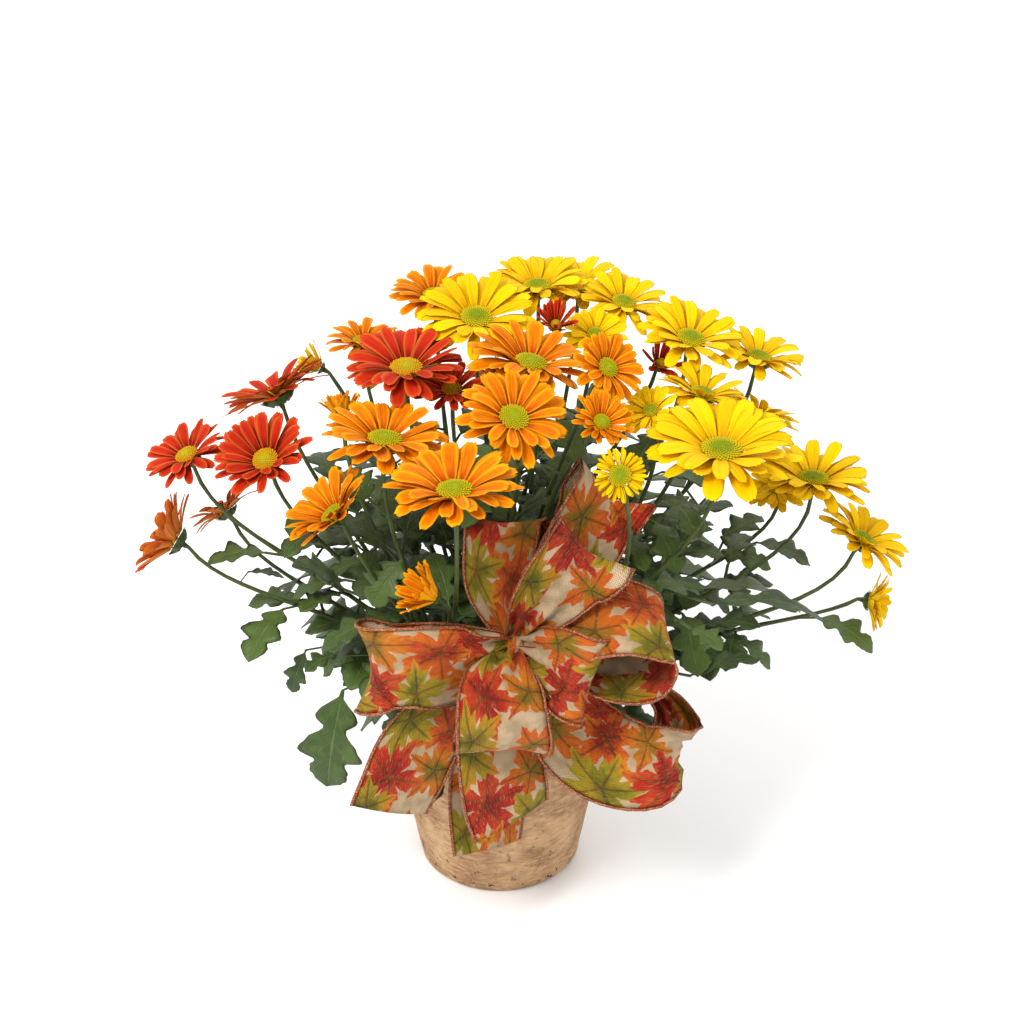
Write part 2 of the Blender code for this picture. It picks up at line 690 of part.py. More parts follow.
def pot_profile():
    inner_rim = POT_RIM_RADIUS - POT_WALL
    inner_base = POT_BASE_RADIUS - POT_WALL + 1.0
    return [
        (0.0, 0.0),
        (POT_BASE_RADIUS - 3.0, 0.0),
        (POT_BASE_RADIUS, 3.0),
        (POT_RIM_RADIUS - 1.0, POT_HEIGHT - 1.5),
        (POT_RIM_RADIUS - 1.5, POT_HEIGHT),
        (inner_rim + 0.6, POT_HEIGHT),
        (inner_rim, POT_HEIGHT - 1.0),
        (inner_base, POT_FLOOR),
        (0.0, POT_FLOOR),
    ]


def inner_radius(height):
    share = (height - POT_FLOOR) / (POT_HEIGHT - 1.0 - POT_FLOOR)
    inner_rim = POT_RIM_RADIUS - POT_WALL
    inner_base = POT_BASE_RADIUS - POT_WALL + 1.0
    return inner_base + (inner_rim - inner_base) * share - GAP / math.cos(math.pi / POT_SIDES)


def soil_profile():
    foot = POT_FLOOR + GAP
    return [
        (0.0, foot),
        (inner_radius(foot), foot),
        (inner_radius(SOIL_EDGE_HEIGHT), SOIL_EDGE_HEIGHT),
        (0.55 * inner_radius(SOIL_EDGE_HEIGHT), SOIL_MOUND_HEIGHT),
        (0.0, SOIL_MOUND_HEIGHT),
    ]


def pick_points():
    """The foot of the pick in the soil and its top, just under the tie."""
    drop = NECK_RADIUS + 2 * (TIE_WIRE_RADIUS + GAP)
    top = sight(*KNOT) + np.array([0.0, NECK_BEHIND, -drop - 0.2])
    return np.array(PICK_FOOT), top


def tie_mesh():
    """A ring of wire round the neck of the bow."""
    middle = sight(*KNOT) + np.array([0.0, NECK_BEHIND, 0.0])
    major = (NECK_RADIUS + GAP + TIE_WIRE_RADIUS) / math.cos(math.pi / 10)
    corners = []
    faces = []
    for step in range(10):
        turn = step * math.tau / 10
        out = np.array([math.cos(turn), 0.0, math.sin(turn)])
        for side in range(4):
            around = side * math.tau / 4
            reach = major + TIE_WIRE_RADIUS * math.cos(around)
            aside = np.array([0.0, TIE_WIRE_RADIUS * math.sin(around), 0.0])
            corners.append(middle + out * reach + aside)
            there = (step + 1) % 10 * 4
            beside = (side + 1) % 4
            faces.append((4 * step + side, there + side, there + beside, 4 * step + beside))
    return np.array(corners), faces


def knot_mesh():
    """The gathered middle of the ribbon: a knot in front and a neck behind it."""
    places = ((-8.0, 5.0), (0.0, KNOT_RADIUS), (5.0, NECK_RADIUS), (14.0, NECK_RADIUS), (17.0, 5.5))
    knot = sight(*KNOT)
    points = [knot + np.array([0.0, back, 0.0]) for back, _ in places]
    return sweep(points, [radius for _, radius in places], 8, apex=1.5)


def crown_mesh(plant, extra=0.0):
    heights = (STUMP_FOOT_HEIGHT, CROWN_HEIGHT - 6.0, CROWN_HEIGHT + 4.0)
    points = [(plant.x, plant.y, height) for height in heights]
    radii = (STUMP_RADIUS * 0.8 + extra, STUMP_RADIUS + extra, STUMP_RADIUS * 0.7 + extra)
    return sweep(points, radii, 6, apex=1.0)


def choose_stem(bloom, plant, fixed, heads, shafts):
    """The first curve, from the plain one outwards, that crosses nothing of another plant."""
    rng = random.Random(SEED + sum(map(ord, bloom.name)) * 13)
    blocks = fixed + [tree for name, tree in heads.items() if name != bloom.name]
    blocks += [tree for name, tree in shafts if name != plant.name]
    for trial in range(160):
        size = 0.0 if trial == 0 else 8.0 + 0.45 * trial
        shift = [np.array([rng.uniform(-size, size) for _ in range(3)]) for _ in range(2)]
        controls = stem_controls(bloom, plant, shift)
        if not crosses(shaft_mesh(controls, 0.9), blocks):
            if not crosses(stem_mesh(bloom, controls, 0.3), blocks):
                return controls
    print("no clear way for the stem of", bloom.name)
    return stem_controls(bloom, plant, [np.zeros(3), np.zeros(3)])


def attach_point(stems, base, tip):
    """The stem point that a leaf with this base would spring from, behind its blade."""
    best = None
    along = unit(tip - base)
    for _, controls in stems:
        for share in np.linspace(0.1, 0.92, 24):
            point = stem_point(controls, share)
            away = base - point
            cost = np.linalg.norm(away) + 0.6 * max(0.0, 6.0 - away[2])
            cost += 2.0 * max(0.0, 0.4 * np.linalg.norm(away) - np.dot(away, along))
            if best is None or cost < best[0]:
                best = (cost, point)
    return best[1]


def placed_leaves(plant, stems, blocks):
    found = []
    for leaf in LEAVES:
        if leaf.plant != plant.name:
            continue
        base = sight(leaf.across, leaf.down, leaf.depth)
        tip = sight(leaf.tip_across, leaf.tip_down, leaf.tip_depth)
        foot = attach_point(stems, base, tip)
        for trial in range(9):
            push = np.array([0.0, 7.0 * ((trial + 1) // 2) * (-1) ** trial, 0.0])
            hint = facing(-90, 50) if abs(unit(tip - base)[2]) > 0.6 else (0.0, 0.0, 1.0)
            args = (foot, base + push * 0.6, tip + push, leaf.half_width, hint)
            if not crosses(leaf_mesh(*args, extra=0.7), blocks):
                found.append(args)
                break
        else:
            print("no room for a placed leaf of", plant.name, leaf.across, leaf.down)
    return found


def rule_leaves(plant, stems, blocks, rng):
    """Leaves up each stem by the golden angle, large below and small above."""
    found = []
    turn = rng.uniform(0, math.tau)
    for bloom, controls in stems:
        length = np.linalg.norm(np.diff(stem_points(controls), axis=0), axis=1).sum()
        steps = int(length / LEAF_SPACING + rng.uniform(0.0, 1.0))
        for step in range(steps):
            place = 0.16 + 0.66 * (step + rng.uniform(0.0, 0.8)) / max(steps, 1)
            size = 92.0 - 46.0 * place + rng.uniform(-6, 6)
            foot = stem_point(controls, place)
            for trial in range(18):
                turn += 2.39996
                size *= 0.97
                level = np.array([math.cos(turn), math.sin(turn), 0.0])
                rise = math.radians(rng.uniform(10, 50))
                up = np.array([0.0, 0.0, 1.0])
                base = foot + size * 0.28 * (level * math.cos(rise) + up * math.sin(rise))
                fall = rise - math.radians(rng.uniform(25, 60))
                tip = base + size * 0.72 * (level * math.cos(fall) + up * math.sin(fall))
                args = (foot, base, tip, size * LEAF_WIDTH_SHARE, up)
                if hides_bow([base, (base + tip) / 2, tip]):
                    continue
                if not crosses(leaf_mesh(*args, extra=0.7), blocks):
                    found.append(args)
                    break
    return found


def lay_out():
    """Every mesh of the plant that others keep clear of, in one fixed order."""
    heads = {bloom.name: tree_of(placed_head(bloom)) for bloom in BLOOMS}
    ribbon = [ribbon_mesh(stations, len(stations) + 3, 2.4) for stations in RIBBON.values()]
    foot, top = pick_points()
    fixed = [tree_of(mesh) for mesh in ribbon]
    fixed.append(tree_of(sweep([foot, top], [PICK_RADIUS + 1.0] * 2, 6)))
    fixed.append(tree_of(tie_mesh()))
    fixed.append(tree_of(turned_mesh(pot_profile(), POT_SIDES)))
    shafts = []
    for plant in PLANTS:
        shafts.append((plant.name, tree_of(crown_mesh(plant, 0.6))))
    stems = {plant.name: [] for plant in PLANTS}
    by_name = {plant.name: plant for plant in PLANTS}
    for bloom in BLOOMS:
        controls = choose_stem(bloom, by_name[bloom.plant], fixed, heads, shafts)
        stems[bloom.plant].append((bloom, controls))
        shafts.append((bloom.plant, tree_of(stem_mesh(bloom, controls, 0.3))))
    soil = tree_of(turned_mesh(soil_profile(), POT_SIDES))
    leaves = {}
    trees = []
    for plant in PLANTS:
        others = fixed + [soil] + list(heads.values()) + [t for n, t in trees if n != plant.name]
        others += [tree for name, tree in shafts if name != plant.name]
        leaves[plant.name] = placed_leaves(plant, stems[plant.name], others)
        trees += [(plant.name, tree_of(leaf_mesh(*args))) for args in leaves[plant.name]]
    for plant in PLANTS:
        rng = random.Random(SEED + sum(map(ord, plant.name)))
        others = fixed + [soil] + list(heads.values()) + [t for n, t in trees if n != plant.name]
        others += [tree for name, tree in shafts if name != plant.name]
        more = rule_leaves(plant, stems[plant.name], others, rng)
        leaves[plant.name] += more
        trees += [(plant.name, tree_of(leaf_mesh(*args))) for args in more]
    return stems, leaves


def build():
    for old in list(bpy.data.objects):
        bpy.data.objects.remove(old)
    looks = {name: material_of(name) for name in COLOURS}
    stems, leaves = lay_out()

    add_object("pot", turned_mesh(pot_profile(), POT_SIDES), looks["pot_fibre"])
    soil = add_object("soil", turned_mesh(soil_profile(), POT_SIDES), looks["potting_soil"])
    foot, top = pick_points()
    holes = [add_object("hole_" + plant.name, crown_mesh(plant, GAP + 0.2), looks["green_stem"])
             for plant in PLANTS]
    below = foot - unit(top - foot) * 0.4
    bore = sweep([below, top], [PICK_RADIUS + GAP + 0.1] * 2, 8)
    holes.append(add_object("hole_pick", bore, looks["pick_wood"]))
    merge(soil, holes, "DIFFERENCE", "EXACT")
    add_object("bow_pick", sweep([foot, top], [PICK_RADIUS] * 2, 8), looks["pick_wood"])
    add_object("bow_tie", tie_mesh(), looks["tie_wire"])

    for bloom in BLOOMS:
        colour = looks["petal_" + bloom.name.split("_")[0]]
        add_object("bloom_" + bloom.name, placed_head(bloom), colour)

    for plant in PLANTS:
        name = "leafy_stem_" + plant.name
        target = add_object(name, crown_mesh(plant), looks["green_stem"])
        others = []
        for bloom, controls in stems[plant.name]:
            others.append(add_object("part", stem_mesh(bloom, controls), looks["green_stem"]))
        for args in leaves[plant.name]:
            others.append(add_object("part", leaf_mesh(*args), looks["green_stem"]))
        merge(target, others, "UNION")

    bow = add_object("ribbon_bow", knot_mesh(), looks["printed_ribbon"])
    strips = [add_object("strip", ribbon_mesh(stations, len(stations) + 3, RIBBON_THICKNESS),
                         looks["printed_ribbon"]) for stations in RIBBON.values()]
    merge(bow, strips, "UNION")
    count = sum(len(some) for some in leaves.values())
    print("leaves:", count, {name: len(some) for name, some in leaves.items()})


build()
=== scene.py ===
# %% [markdown]
# # A pot chrysanthemum with a ribbon bow
# A florist's chrysanthemum is several rooted cuttings in one pot. Here some carry yellow daisy
# heads, some orange and some red, and a printed ribbon is tied into a bow in front of them.
# The solids that were measured for it are loaded first. They fix where everything is, and each
# finer surface made below stands for one of them.

# %% Load the measured solids
import json
import math
import random
from collections import namedtuple

import bpy
import numpy as np
from mathutils.bvhtree import BVHTree
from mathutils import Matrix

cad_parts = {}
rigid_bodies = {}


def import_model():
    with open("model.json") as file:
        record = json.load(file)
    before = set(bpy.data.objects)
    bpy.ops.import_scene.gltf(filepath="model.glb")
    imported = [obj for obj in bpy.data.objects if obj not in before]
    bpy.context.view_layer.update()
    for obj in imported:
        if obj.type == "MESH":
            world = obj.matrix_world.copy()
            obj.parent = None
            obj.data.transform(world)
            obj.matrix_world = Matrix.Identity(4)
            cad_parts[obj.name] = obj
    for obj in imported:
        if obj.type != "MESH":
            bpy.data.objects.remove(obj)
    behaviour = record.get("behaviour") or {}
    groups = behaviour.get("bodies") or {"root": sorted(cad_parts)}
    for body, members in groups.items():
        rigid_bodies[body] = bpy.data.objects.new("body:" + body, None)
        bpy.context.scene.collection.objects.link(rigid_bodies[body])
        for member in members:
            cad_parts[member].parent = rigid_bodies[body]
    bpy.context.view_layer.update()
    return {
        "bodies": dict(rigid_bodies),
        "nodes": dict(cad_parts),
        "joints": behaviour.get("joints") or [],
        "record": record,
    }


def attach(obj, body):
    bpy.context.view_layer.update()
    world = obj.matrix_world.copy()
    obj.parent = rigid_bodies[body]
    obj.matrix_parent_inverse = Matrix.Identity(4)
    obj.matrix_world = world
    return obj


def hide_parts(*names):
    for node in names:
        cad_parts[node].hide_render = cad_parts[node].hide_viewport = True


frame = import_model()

# %% [markdown]
# ## The view
# The picture was taken from in front and a little above. Its eye point, its tilt and its focal
# length were worked out from the ellipses of the pot, so a place in the picture and a depth give
# a point in space. Placing 39 heads by eye would take far longer.

# %% From a place in the picture to a point in space
MM = 0.001
GAP = 0.3
SEED = 23

# The view, in mm, degrees and picture points.
EYE = np.array([9.0, -1200.0, 940.0])
VIEW_PITCH = 28.8
VIEW_FOCAL = 2025.0
VIEW_CENTRE = 512.0


def unit(vector):
    """The vector divided by its own length."""
    vector = np.asarray(vector, float)
    return vector / np.linalg.norm(vector)


def view_axes():
    """The way that the view looks, and the way that is up in it."""
    pitch = math.radians(VIEW_PITCH)
    ahead = np.array([0.0, math.cos(pitch), -math.sin(pitch)])
    return ahead, np.array([0.0, math.sin(pitch), math.cos(pitch)])


def sight(across, down, depth):
    """The point in mm seen at this place of the view, on the upright plane y = depth."""
    ahead, up = view_axes()
    ray = ahead + up * (VIEW_CENTRE - down) / VIEW_FOCAL
    ray[0] += (across - VIEW_CENTRE) / VIEW_FOCAL
    return EYE + ray * (depth - EYE[1]) / ray[1]


def facing(azimuth, elevation):
    """The direction at this angle round the upright axis and this angle above the level."""
    around = math.radians(azimuth)
    above = math.radians(elevation)
    level = math.cos(above)
    return np.array([level * math.cos(around), level * math.sin(around), math.sin(above)])


def frame_of(axis, spin=0.0):
    """Three rows: two directions square to the axis, turned by spin, then the axis."""
    axis = unit(axis)
    side = np.cross([0.0, 0.0, 1.0], axis)
    if np.linalg.norm(side) < 1e-6:
        side = np.array([1.0, 0.0, 0.0])
    side = unit(side)
    other = np.cross(axis, side)
    first = side * math.cos(spin) + other * math.sin(spin)
    return np.array([first, np.cross(axis, first), axis])


print("the knot is seen at depth -124 mm, at", np.round(sight(514, 642, -124)))

# %% [markdown]
# ## Real sizes
# The pot is a 16 cm florist pot and the ribbon is 63.5 mm wide, and these two sizes agree in the
# picture. All sizes are in millimetres and are turned into metres when a mesh is made.

# %% Sizes of the pot, the heads, the leaves and the ribbon
POT_BASE_RADIUS = 58.0
POT_RIM_RADIUS = 80.0
POT_HEIGHT = 122.0
POT_WALL = 4.0
POT_FLOOR = 6.0
POT_SIDES = 32
SOIL_EDGE_HEIGHT = 104.0
SOIL_MOUND_HEIGHT = 110.0
STUMP_RADIUS = 3.6
STUMP_FOOT_HEIGHT = 88.0
CROWN_HEIGHT = 121.0

DISC_SHARE = 0.26
DISC_HALF = 1.2
DOME_HEIGHT = 3.0
PETAL_THICKNESS = 0.9
WIDEST_AT = 0.62
NECK_LENGTH = 5.0
CUP_SHARE = 0.30
STEM_FOOT_RADIUS = 2.2
STEM_NECK_RADIUS = 1.5
STEM_SIDES = 5

BLADE_FROM = 0.26
LEAF_HALF = (
    (0.40, 0.62),
    (0.47, 0.32),
    (0.64, 1.00),
    (0.71, 0.44),
    (0.86, 0.56),
)
LEAF_SPACING = 185.0
LEAF_WIDTH_SHARE = 0.26
PETIOLE_SHARE = 0.28
BLADE_SHARE = 0.72
GOLDEN_TURN = 2.39996
PETIOLE_HALF = 1.1
MIDRIB_HALF = 0.9

RIBBON_WIDTH = 63.5
KNOT_RADIUS = 9.0
NECK_RADIUS = 4.0
NECK_BEHIND = 11.5
TIE_WIRE_RADIUS = 0.6
PICK_RADIUS = 2.0
PICK_FOOT = (22.0, -52.0, 80.0)
BOW_SEEN = (520.0, 640.0, 165.0, 160.0)
BOW_BACK = -88.0
print("ribbon width", RIBBON_WIDTH, "pot across", 2 * POT_RIM_RADIUS)

# %% [markdown]
# ## Where each head, leaf and ribbon lies
# Each row names one thing that the picture shows: where it is seen, how far back it stands and
# which way it faces. The heads at the back, which the picture hides, close the plant all round.

# %% The plants and their heads
Bloom = namedtuple("Bloom", "name across down depth radius azimuth elevation form petals plant")
Plant = namedtuple("Plant", "name x y")
Leaf = namedtuple("Leaf", "plant across down depth tip_across tip_down tip_depth half_width")
Station = namedtuple("Station", "across down depth wx wy wz width")

PLANTS = (
    Plant("red_left", -45.0, 2.0),
    Plant("orange_left", -34.0, -32.0),
    Plant("orange_front", -4.0, -26.0),
    Plant("red_middle", -8.0, 6.0),
    Plant("orange_back", -24.0, 38.0),
    Plant("yellow_back", 16.0, 36.0),
    Plant("yellow_right", 44.0, 12.0),
    Plant("yellow_front", 40.0, -28.0),
)

BLOOMS = (
    Bloom("yellow_01", 477, 314, 14, 40, -78, 73, "open", 14, "yellow_back"),
    Bloom("yellow_02", 537, 282, 80, 37, -151, 86, "open", 14, "yellow_back"),
    Bloom("yellow_03", 579, 283, 116, 37, -15, 87, "open", 14, "yellow_back"),
    Bloom("yellow_04", 625, 299, 64, 32, -45, 75, "open", 12, "yellow_back"),
    Bloom("yellow_05", 692, 335, 20, 36, -48, 72, "open", 12, "yellow_right"),
    Bloom("yellow_06", 760, 353, 42, 33, -5, 78, "open", 12, "yellow_right"),
    Bloom("yellow_07", 704, 389, -34, 30, 4, 77, "open", 12, "yellow_right"),
    Bloom("yellow_08", 722, 446, -100, 48, -84, 82, "open", 14, "yellow_front"),
    Bloom("yellow_09", 814, 475, -34, 39, 2, 88, "open", 14, "yellow_front"),
    Bloom("yellow_10", 866, 536, -34, 33, -5, 61, "open", 12, "yellow_front"),
    Bloom("yellow_11", 876, 602, -20, 21, -22, 2, "cup", 10, "yellow_front"),
    Bloom("yellow_12", 620, 475, -132, 17, -90, 30, "open", 10, "yellow_front"),
    Bloom("yellow_13", 650, 408, -62, 19, -130, 60, "open", 10, "yellow_right"),
    Bloom("yellow_14", 776, 484, 0, 22, -120, 60, "open", 10, "yellow_right"),
    Bloom("yellow_15", 314, 364, 60, 14, 175, 31, "half", 8, "orange_back"),
    Bloom("yellow_16", 596, 332, 16, 22, -80, 62, "open", 10, "yellow_back"),
    Bloom("yellow_17", 760, 410, 110, 31, 40, 56, "open", 12, "yellow_right"),
    Bloom("orange_01", 434, 292, 58, 30, -99, 78, "open", 12, "orange_back"),
    Bloom("orange_02", 363, 337, 62, 27, 123, 88, "open", 10, "orange_back"),
    Bloom("orange_03", 532, 359, -46, 40, -19, 77, "open", 14, "orange_front"),
    Bloom("orange_04", 515, 415, -112, 35, -63, 60, "open", 12, "orange_front"),
    Bloom("orange_05", 610, 366, -68, 25, -49, 44, "open", 10, "orange_front"),
    Bloom("orange_06", 603, 420, -106, 20, -64, 54, "cup", 10, "orange_front"),
    Bloom("orange_07", 385, 435, -96, 40, -9, 84, "open", 14, "orange_left"),
    Bloom("orange_08", 454, 486, -172, 40, -133, 86, "open", 14, "orange_left"),
    Bloom("orange_09", 330, 511, -118, 31, -170, 54, "cup", 12, "orange_left"),
    Bloom("orange_10", 428, 594, -150, 18, -165, 40, "half", 10, "orange_left"),
    Bloom("orange_11", 341, 410, -30, 14, 112, 75, "half", 8, "orange_left"),
    Bloom("orange_12", 400, 372, 120, 30, 118, 58, "open", 12, "orange_back"),
    Bloom("red_01", 406, 364, -30, 39, -88, 82, "open", 14, "red_middle"),
    Bloom("red_02", 452, 386, -22, 25, -88, 78, "open", 10, "red_middle"),
    Bloom("red_03", 274, 389, 6, 39, 147, 60, "open", 14, "red_left"),
    Bloom("red_04", 264, 457, -62, 32, -116, 61, "cup", 12, "red_left"),
    Bloom("red_05", 185, 452, -28, 29, -149, 67, "open", 12, "red_left"),
    Bloom("red_06", 170, 537, -20, 33, 171, 29, "cup", 12, "red_left"),
    Bloom("red_07", 222, 506, 26, 27, 150, 46, "open", 10, "red_left"),
    Bloom("red_08", 556, 322, 4, 14, -90, 60, "half", 8, "red_middle"),
    Bloom("red_09", 662, 362, 40, 16, -70, 46, "half", 8, "red_middle"),
    Bloom("red_10", 500, 372, 140, 29, 92, 60, "open", 12, "red_middle"),
)

FORMS = {
    "open": (30.0, 14.0, 10.0, -8.0),
    "cup": (42.0, 34.0, 26.0, 16.0),
    "half": (62.0, 64.0, 48.0, 50.0),
}
print(len(BLOOMS), "heads on", len(PLANTS), "plants")

# %% The leaves seen at the edge, and the ribbon
LEAVES = (
    Leaf("orange_left", 343, 690, -66, 328, 786, -66, 23),
    Leaf("orange_left", 306, 650, -40, 292, 692, -40, 9),
    Leaf("orange_left", 338, 655, -58, 305, 672, -70, 11),
    Leaf("red_left", 305, 602, -10, 248, 606, -14, 15),
    Leaf("orange_left", 345, 590, -70, 292, 566, -80, 22),
    Leaf("red_left", 248, 572, -14, 284, 578, -14, 6),
    Leaf("yellow_front", 712, 604, -84, 826, 622, -60, 15),
    Leaf("yellow_front", 690, 676, -90, 760, 660, -80, 12),
    Leaf("yellow_front", 690, 628, -104, 722, 650, -118, 12),
    Leaf("yellow_right", 722, 560, -10, 772, 574, -20, 16),
    Leaf("yellow_front", 700, 512, -86, 664, 500, -90, 13),
    Leaf("yellow_front", 700, 588, -70, 800, 612, -30, 16),
    Leaf("orange_left", 402, 560, -96, 372, 606, -108, 16),
    Leaf("orange_left", 370, 500, -76, 346, 470, -70, 13),
)

KNOT = (514, 642, -124)
RIBBON = {
    "loop_left": (
        Station(500, 650, -128, 0.1, 0.0, 1.0, 0.18),
        Station(466, 668, -148, 0.05, 0.0, 1.0, 0.82),
        Station(418, 669, -162, 0.0, -0.1, 1.0, 0.95),
        Station(372, 669, -156, 0.0, -0.15, 1.0, 0.93),
        Station(366, 667, -140, 0.0, -0.15, 1.0, 0.93),
        Station(400, 666, -122, 0.0, 0.0, 1.0, 0.92),
        Station(460, 656, -118, 0.0, 0.0, 1.0, 0.72),
        Station(506, 646, -121, 0.1, 0.0, 1.0, 0.18),
    ),
    "loop_down": (
        Station(512, 650, -130, 1.0, 0.0, 0.0, 0.18),
        Station(505, 680, -158, 0.95, 0.2, -0.2, 0.78),
        Station(503, 712, -176, 0.88, 0.35, -0.25, 0.93),
        Station(503, 738, -176, 0.86, 0.45, -0.25, 0.94),
        Station(503, 740, -153, 0.86, 0.45, -0.25, 0.94),
        Station(508, 705, -138, 0.95, 0.2, -0.1, 0.76),
        Station(513, 655, -124, 1.0, 0.0, 0.0, 0.18),
    ),
    "loop_right_low": (
        Station(522, 647, -130, 0.4, -0.2, 0.9, 0.18),
        Station(548, 660, -150, 0.4, -0.2, 0.9, 0.70),
        Station(574, 674, -162, 0.35, -0.1, 0.92, 0.92),
        Station(586, 678, -151, 0.32, -0.07, 0.95, 0.94),
        Station(566, 672, -136, 0.35, 0.0, 0.92, 0.84),
        Station(524, 650, -124, 0.4, 0.0, 0.9, 0.18),
    ),
    "loop_right": (
        Station(524, 641, -126, -0.2, 0.9, 0.4, 0.18),
        Station(578, 622, -136, -0.2, 0.9, 0.4, 0.86),
        Station(632, 618, -136, -0.2, 0.92, 0.35, 0.98),
        Station(667, 634, -134, -0.1, 0.94, 0.3, 0.98),
        Station(660, 658, -134, -0.05, 0.95, 0.25, 0.96),
        Station(610, 668, -126, -0.1, 0.9, 0.4, 0.78),
        Station(526, 647, -121, -0.2, 0.9, 0.4, 0.18),
    ),
    "loop_up_left": (
        Station(510, 634, -121, 0.8, -0.5, 0.1, 0.18),
        Station(500, 596, -108, 0.8, -0.5, 0.1, 0.66),
        Station(500, 552, -88, 0.78, -0.55, 0.3, 0.92),
        Station(505, 520, -76, 0.76, -0.57, 0.32, 0.94),
        Station(515, 532, -68, 0.76, -0.57, 0.32, 0.92),
        Station(512, 588, -96, 0.8, -0.5, 0.2, 0.68),
        Station(512, 630, -112, 0.8, -0.5, 0.1, 0.18),
    ),
    "loop_up_right": (
        Station(520, 634, -128, 0.85, -0.1, -0.45, 0.18),
        Station(546, 602, -142, 0.78, 0.0, -0.55, 0.66),
        Station(577, 569, -138, 0.72, 0.2, -0.62, 0.88),
        Station(591, 553, -122, 0.68, 0.33, -0.65, 0.92),
        Station(572, 570, -114, 0.72, 0.2, -0.62, 0.84),
        Station(522, 632, -120, 0.85, -0.1, -0.45, 0.18),
    ),
    "loop_top": (
        Station(518, 632, -118, 0.85, 0.1, -0.5, 0.18),
        Station(560, 582, -104, 0.78, 0.2, -0.58, 0.74),
        Station(594, 524, -88, 0.68, 0.35, -0.64, 0.94),
        Station(609, 496, -76, 0.62, 0.42, -0.66, 0.96),
        Station(594, 524, -64, 0.68, 0.35, -0.64, 0.92),
        Station(552, 585, -86, 0.8, 0.2, -0.56, 0.72),
        Station(515, 634, -112, 0.85, 0.1, -0.5, 0.18),
    ),
    "tail_left": (
        Station(504, 650, -118, 0.8, 0.0, -0.5, 0.18),
        Station(466, 694, -132, 0.75, 0.15, -0.55, 0.72),
        Station(424, 740, -148, 0.68, 0.35, -0.6, 0.94),
        Station(402, 784, -158, 0.64, 0.43, -0.63, 1.0),
        Station(391, 811, -164, 0.64, 0.43, -0.63, 1.0),
    ),
    "tail_middle": (
        Station(512, 654, -118, 1.0, 0.0, 0.0, 0.18),
        Station(504, 700, -114, 0.95, 0.2, -0.05, 0.70),
        Station(499, 748, -128, 0.88, 0.42, -0.2, 0.93),
        Station(505, 790, -134, 0.86, 0.42, -0.25, 0.94),
        Station(511, 820, -132, 0.78, 0.5, -0.35, 0.92),
    ),
    "tail_low": (
        Station(516, 654, -112, 1.0, 0.0, 0.0, 0.18),
        Station(502, 716, -99, 0.95, 0.1, -0.1, 0.70),
        Station(490, 776, -98, 0.85, 0.3, -0.35, 0.90),
        Station(488, 826, -106, 0.75, 0.4, -0.5, 0.92),
        Station(489, 848, -112, 0.7, 0.42, -0.55, 0.92),
    ),
    "tail_right": (
        Station(524, 652, -118, 0.5, 0.0, 0.9, 0.18),
        Station(556, 702, -118, 0.5, 0.3, 0.8, 0.72),
        Station(582, 740, -124, 0.5, 0.4, 0.76, 0.92),
        Station(618, 762, -134, 0.2, 0.5, 0.84, 0.92),
        Station(654, 766, -136, 0.1, 0.5, 0.84, 0.84),
        Station(678, 748, -122, 0.3, 0.5, 0.8, 0.70),
        Station(674, 718, -104, 0.8, 0.3, 0.5, 0.42),
        Station(664, 695, -98, 0.9, 0.1, 0.3, 0.10),
    ),
}
print(len(RIBBON), "loops and tails")

# %% [markdown]
# ## Guide shapes
# A stem must not run through a flower, and a leaf must not cut a neighbour. To test that, each
# thing gets a plain guide shape of a few dozen faces, the same as the measured solids have. They
# are never shown: only a search tree of each is kept, which tells at once what it crosses.

# %% Guide tubes and turned guides
def sweep(points, radii, sides, apex=0.0):
    """A closed tube through the points; its last end rises to a point by apex."""
    points = np.asarray(points, float)
    tangents = []
    for place in range(len(points)):
        before = points[place] - points[max(place - 1, 0)]
        after = points[min(place + 1, len(points) - 1)] - points[place]
        tangent = unit(before) if np.linalg.norm(before) > 1e-6 else np.zeros(3)
        tangent = tangent + (unit(after) if np.linalg.norm(after) > 1e-6 else np.zeros(3))
        tangents.append(unit(tangent))
    first = frame_of(tangents[0])[0]
    rows = []
    for point, tangent, radius in zip(points, tangents, radii):
        first = unit(first - tangent * np.dot(first, tangent))
        second = np.cross(tangent, first)
        turns = np.arange(sides) * math.tau / sides
        ring = np.outer(np.cos(turns), first) + np.outer(np.sin(turns), second)
        rows.append(point + ring * radius)
    corners = np.vstack(rows + [points[:1], points[-1:] + tangents[-1] * apex])
    faces = []
    for row in range(len(points) - 1):
        for side in range(sides):
            low = row * sides + side
            low_next = row * sides + (side + 1) % sides
            faces.append((low, low_next, low_next + sides, low + sides))
    last = (len(points) - 1) * sides
    foot = len(points) * sides
    for side in range(sides):
        faces.append((foot, (side + 1) % sides, side))
        faces.append((foot + 1, last + side, last + (side + 1) % sides))
    return corners, faces


def turned_mesh(profile, sides):
    """A solid turned round the upright axis from (radius, height) pairs."""
    corners = []
    rows = []
    for radius, height in profile:
        if radius == 0:
            rows.append([len(corners)] * sides)
            corners.append((0.0, 0.0, height))
            continue
        rows.append(list(range(len(corners), len(corners) + sides)))
        for side in range(sides):
            turn = side * math.tau / sides
            corners.append((radius * math.cos(turn), radius * math.sin(turn), height))
    faces = []
    for below, above in zip(rows, rows[1:]):
        for side in range(sides):
            face = [below[side], below[(side + 1) % sides], above[(side + 1) % sides], above[side]]
            face = [index for place, index in enumerate(face) if index not in face[:place]]
            if len(face) > 2:
                faces.append(tuple(face))
    return np.array(corners), faces


def tree_of(mesh):
    """A search tree of the mesh's faces, which finds crossings at once."""
    corners, faces = mesh
    return BVHTree.FromPolygons([tuple(point) for point in corners], faces)


def crosses(mesh, trees):
    """Whether any face of the mesh crosses a face of any tree."""
    mine = tree_of(mesh)
    return any(mine.overlap(tree) for tree in trees)


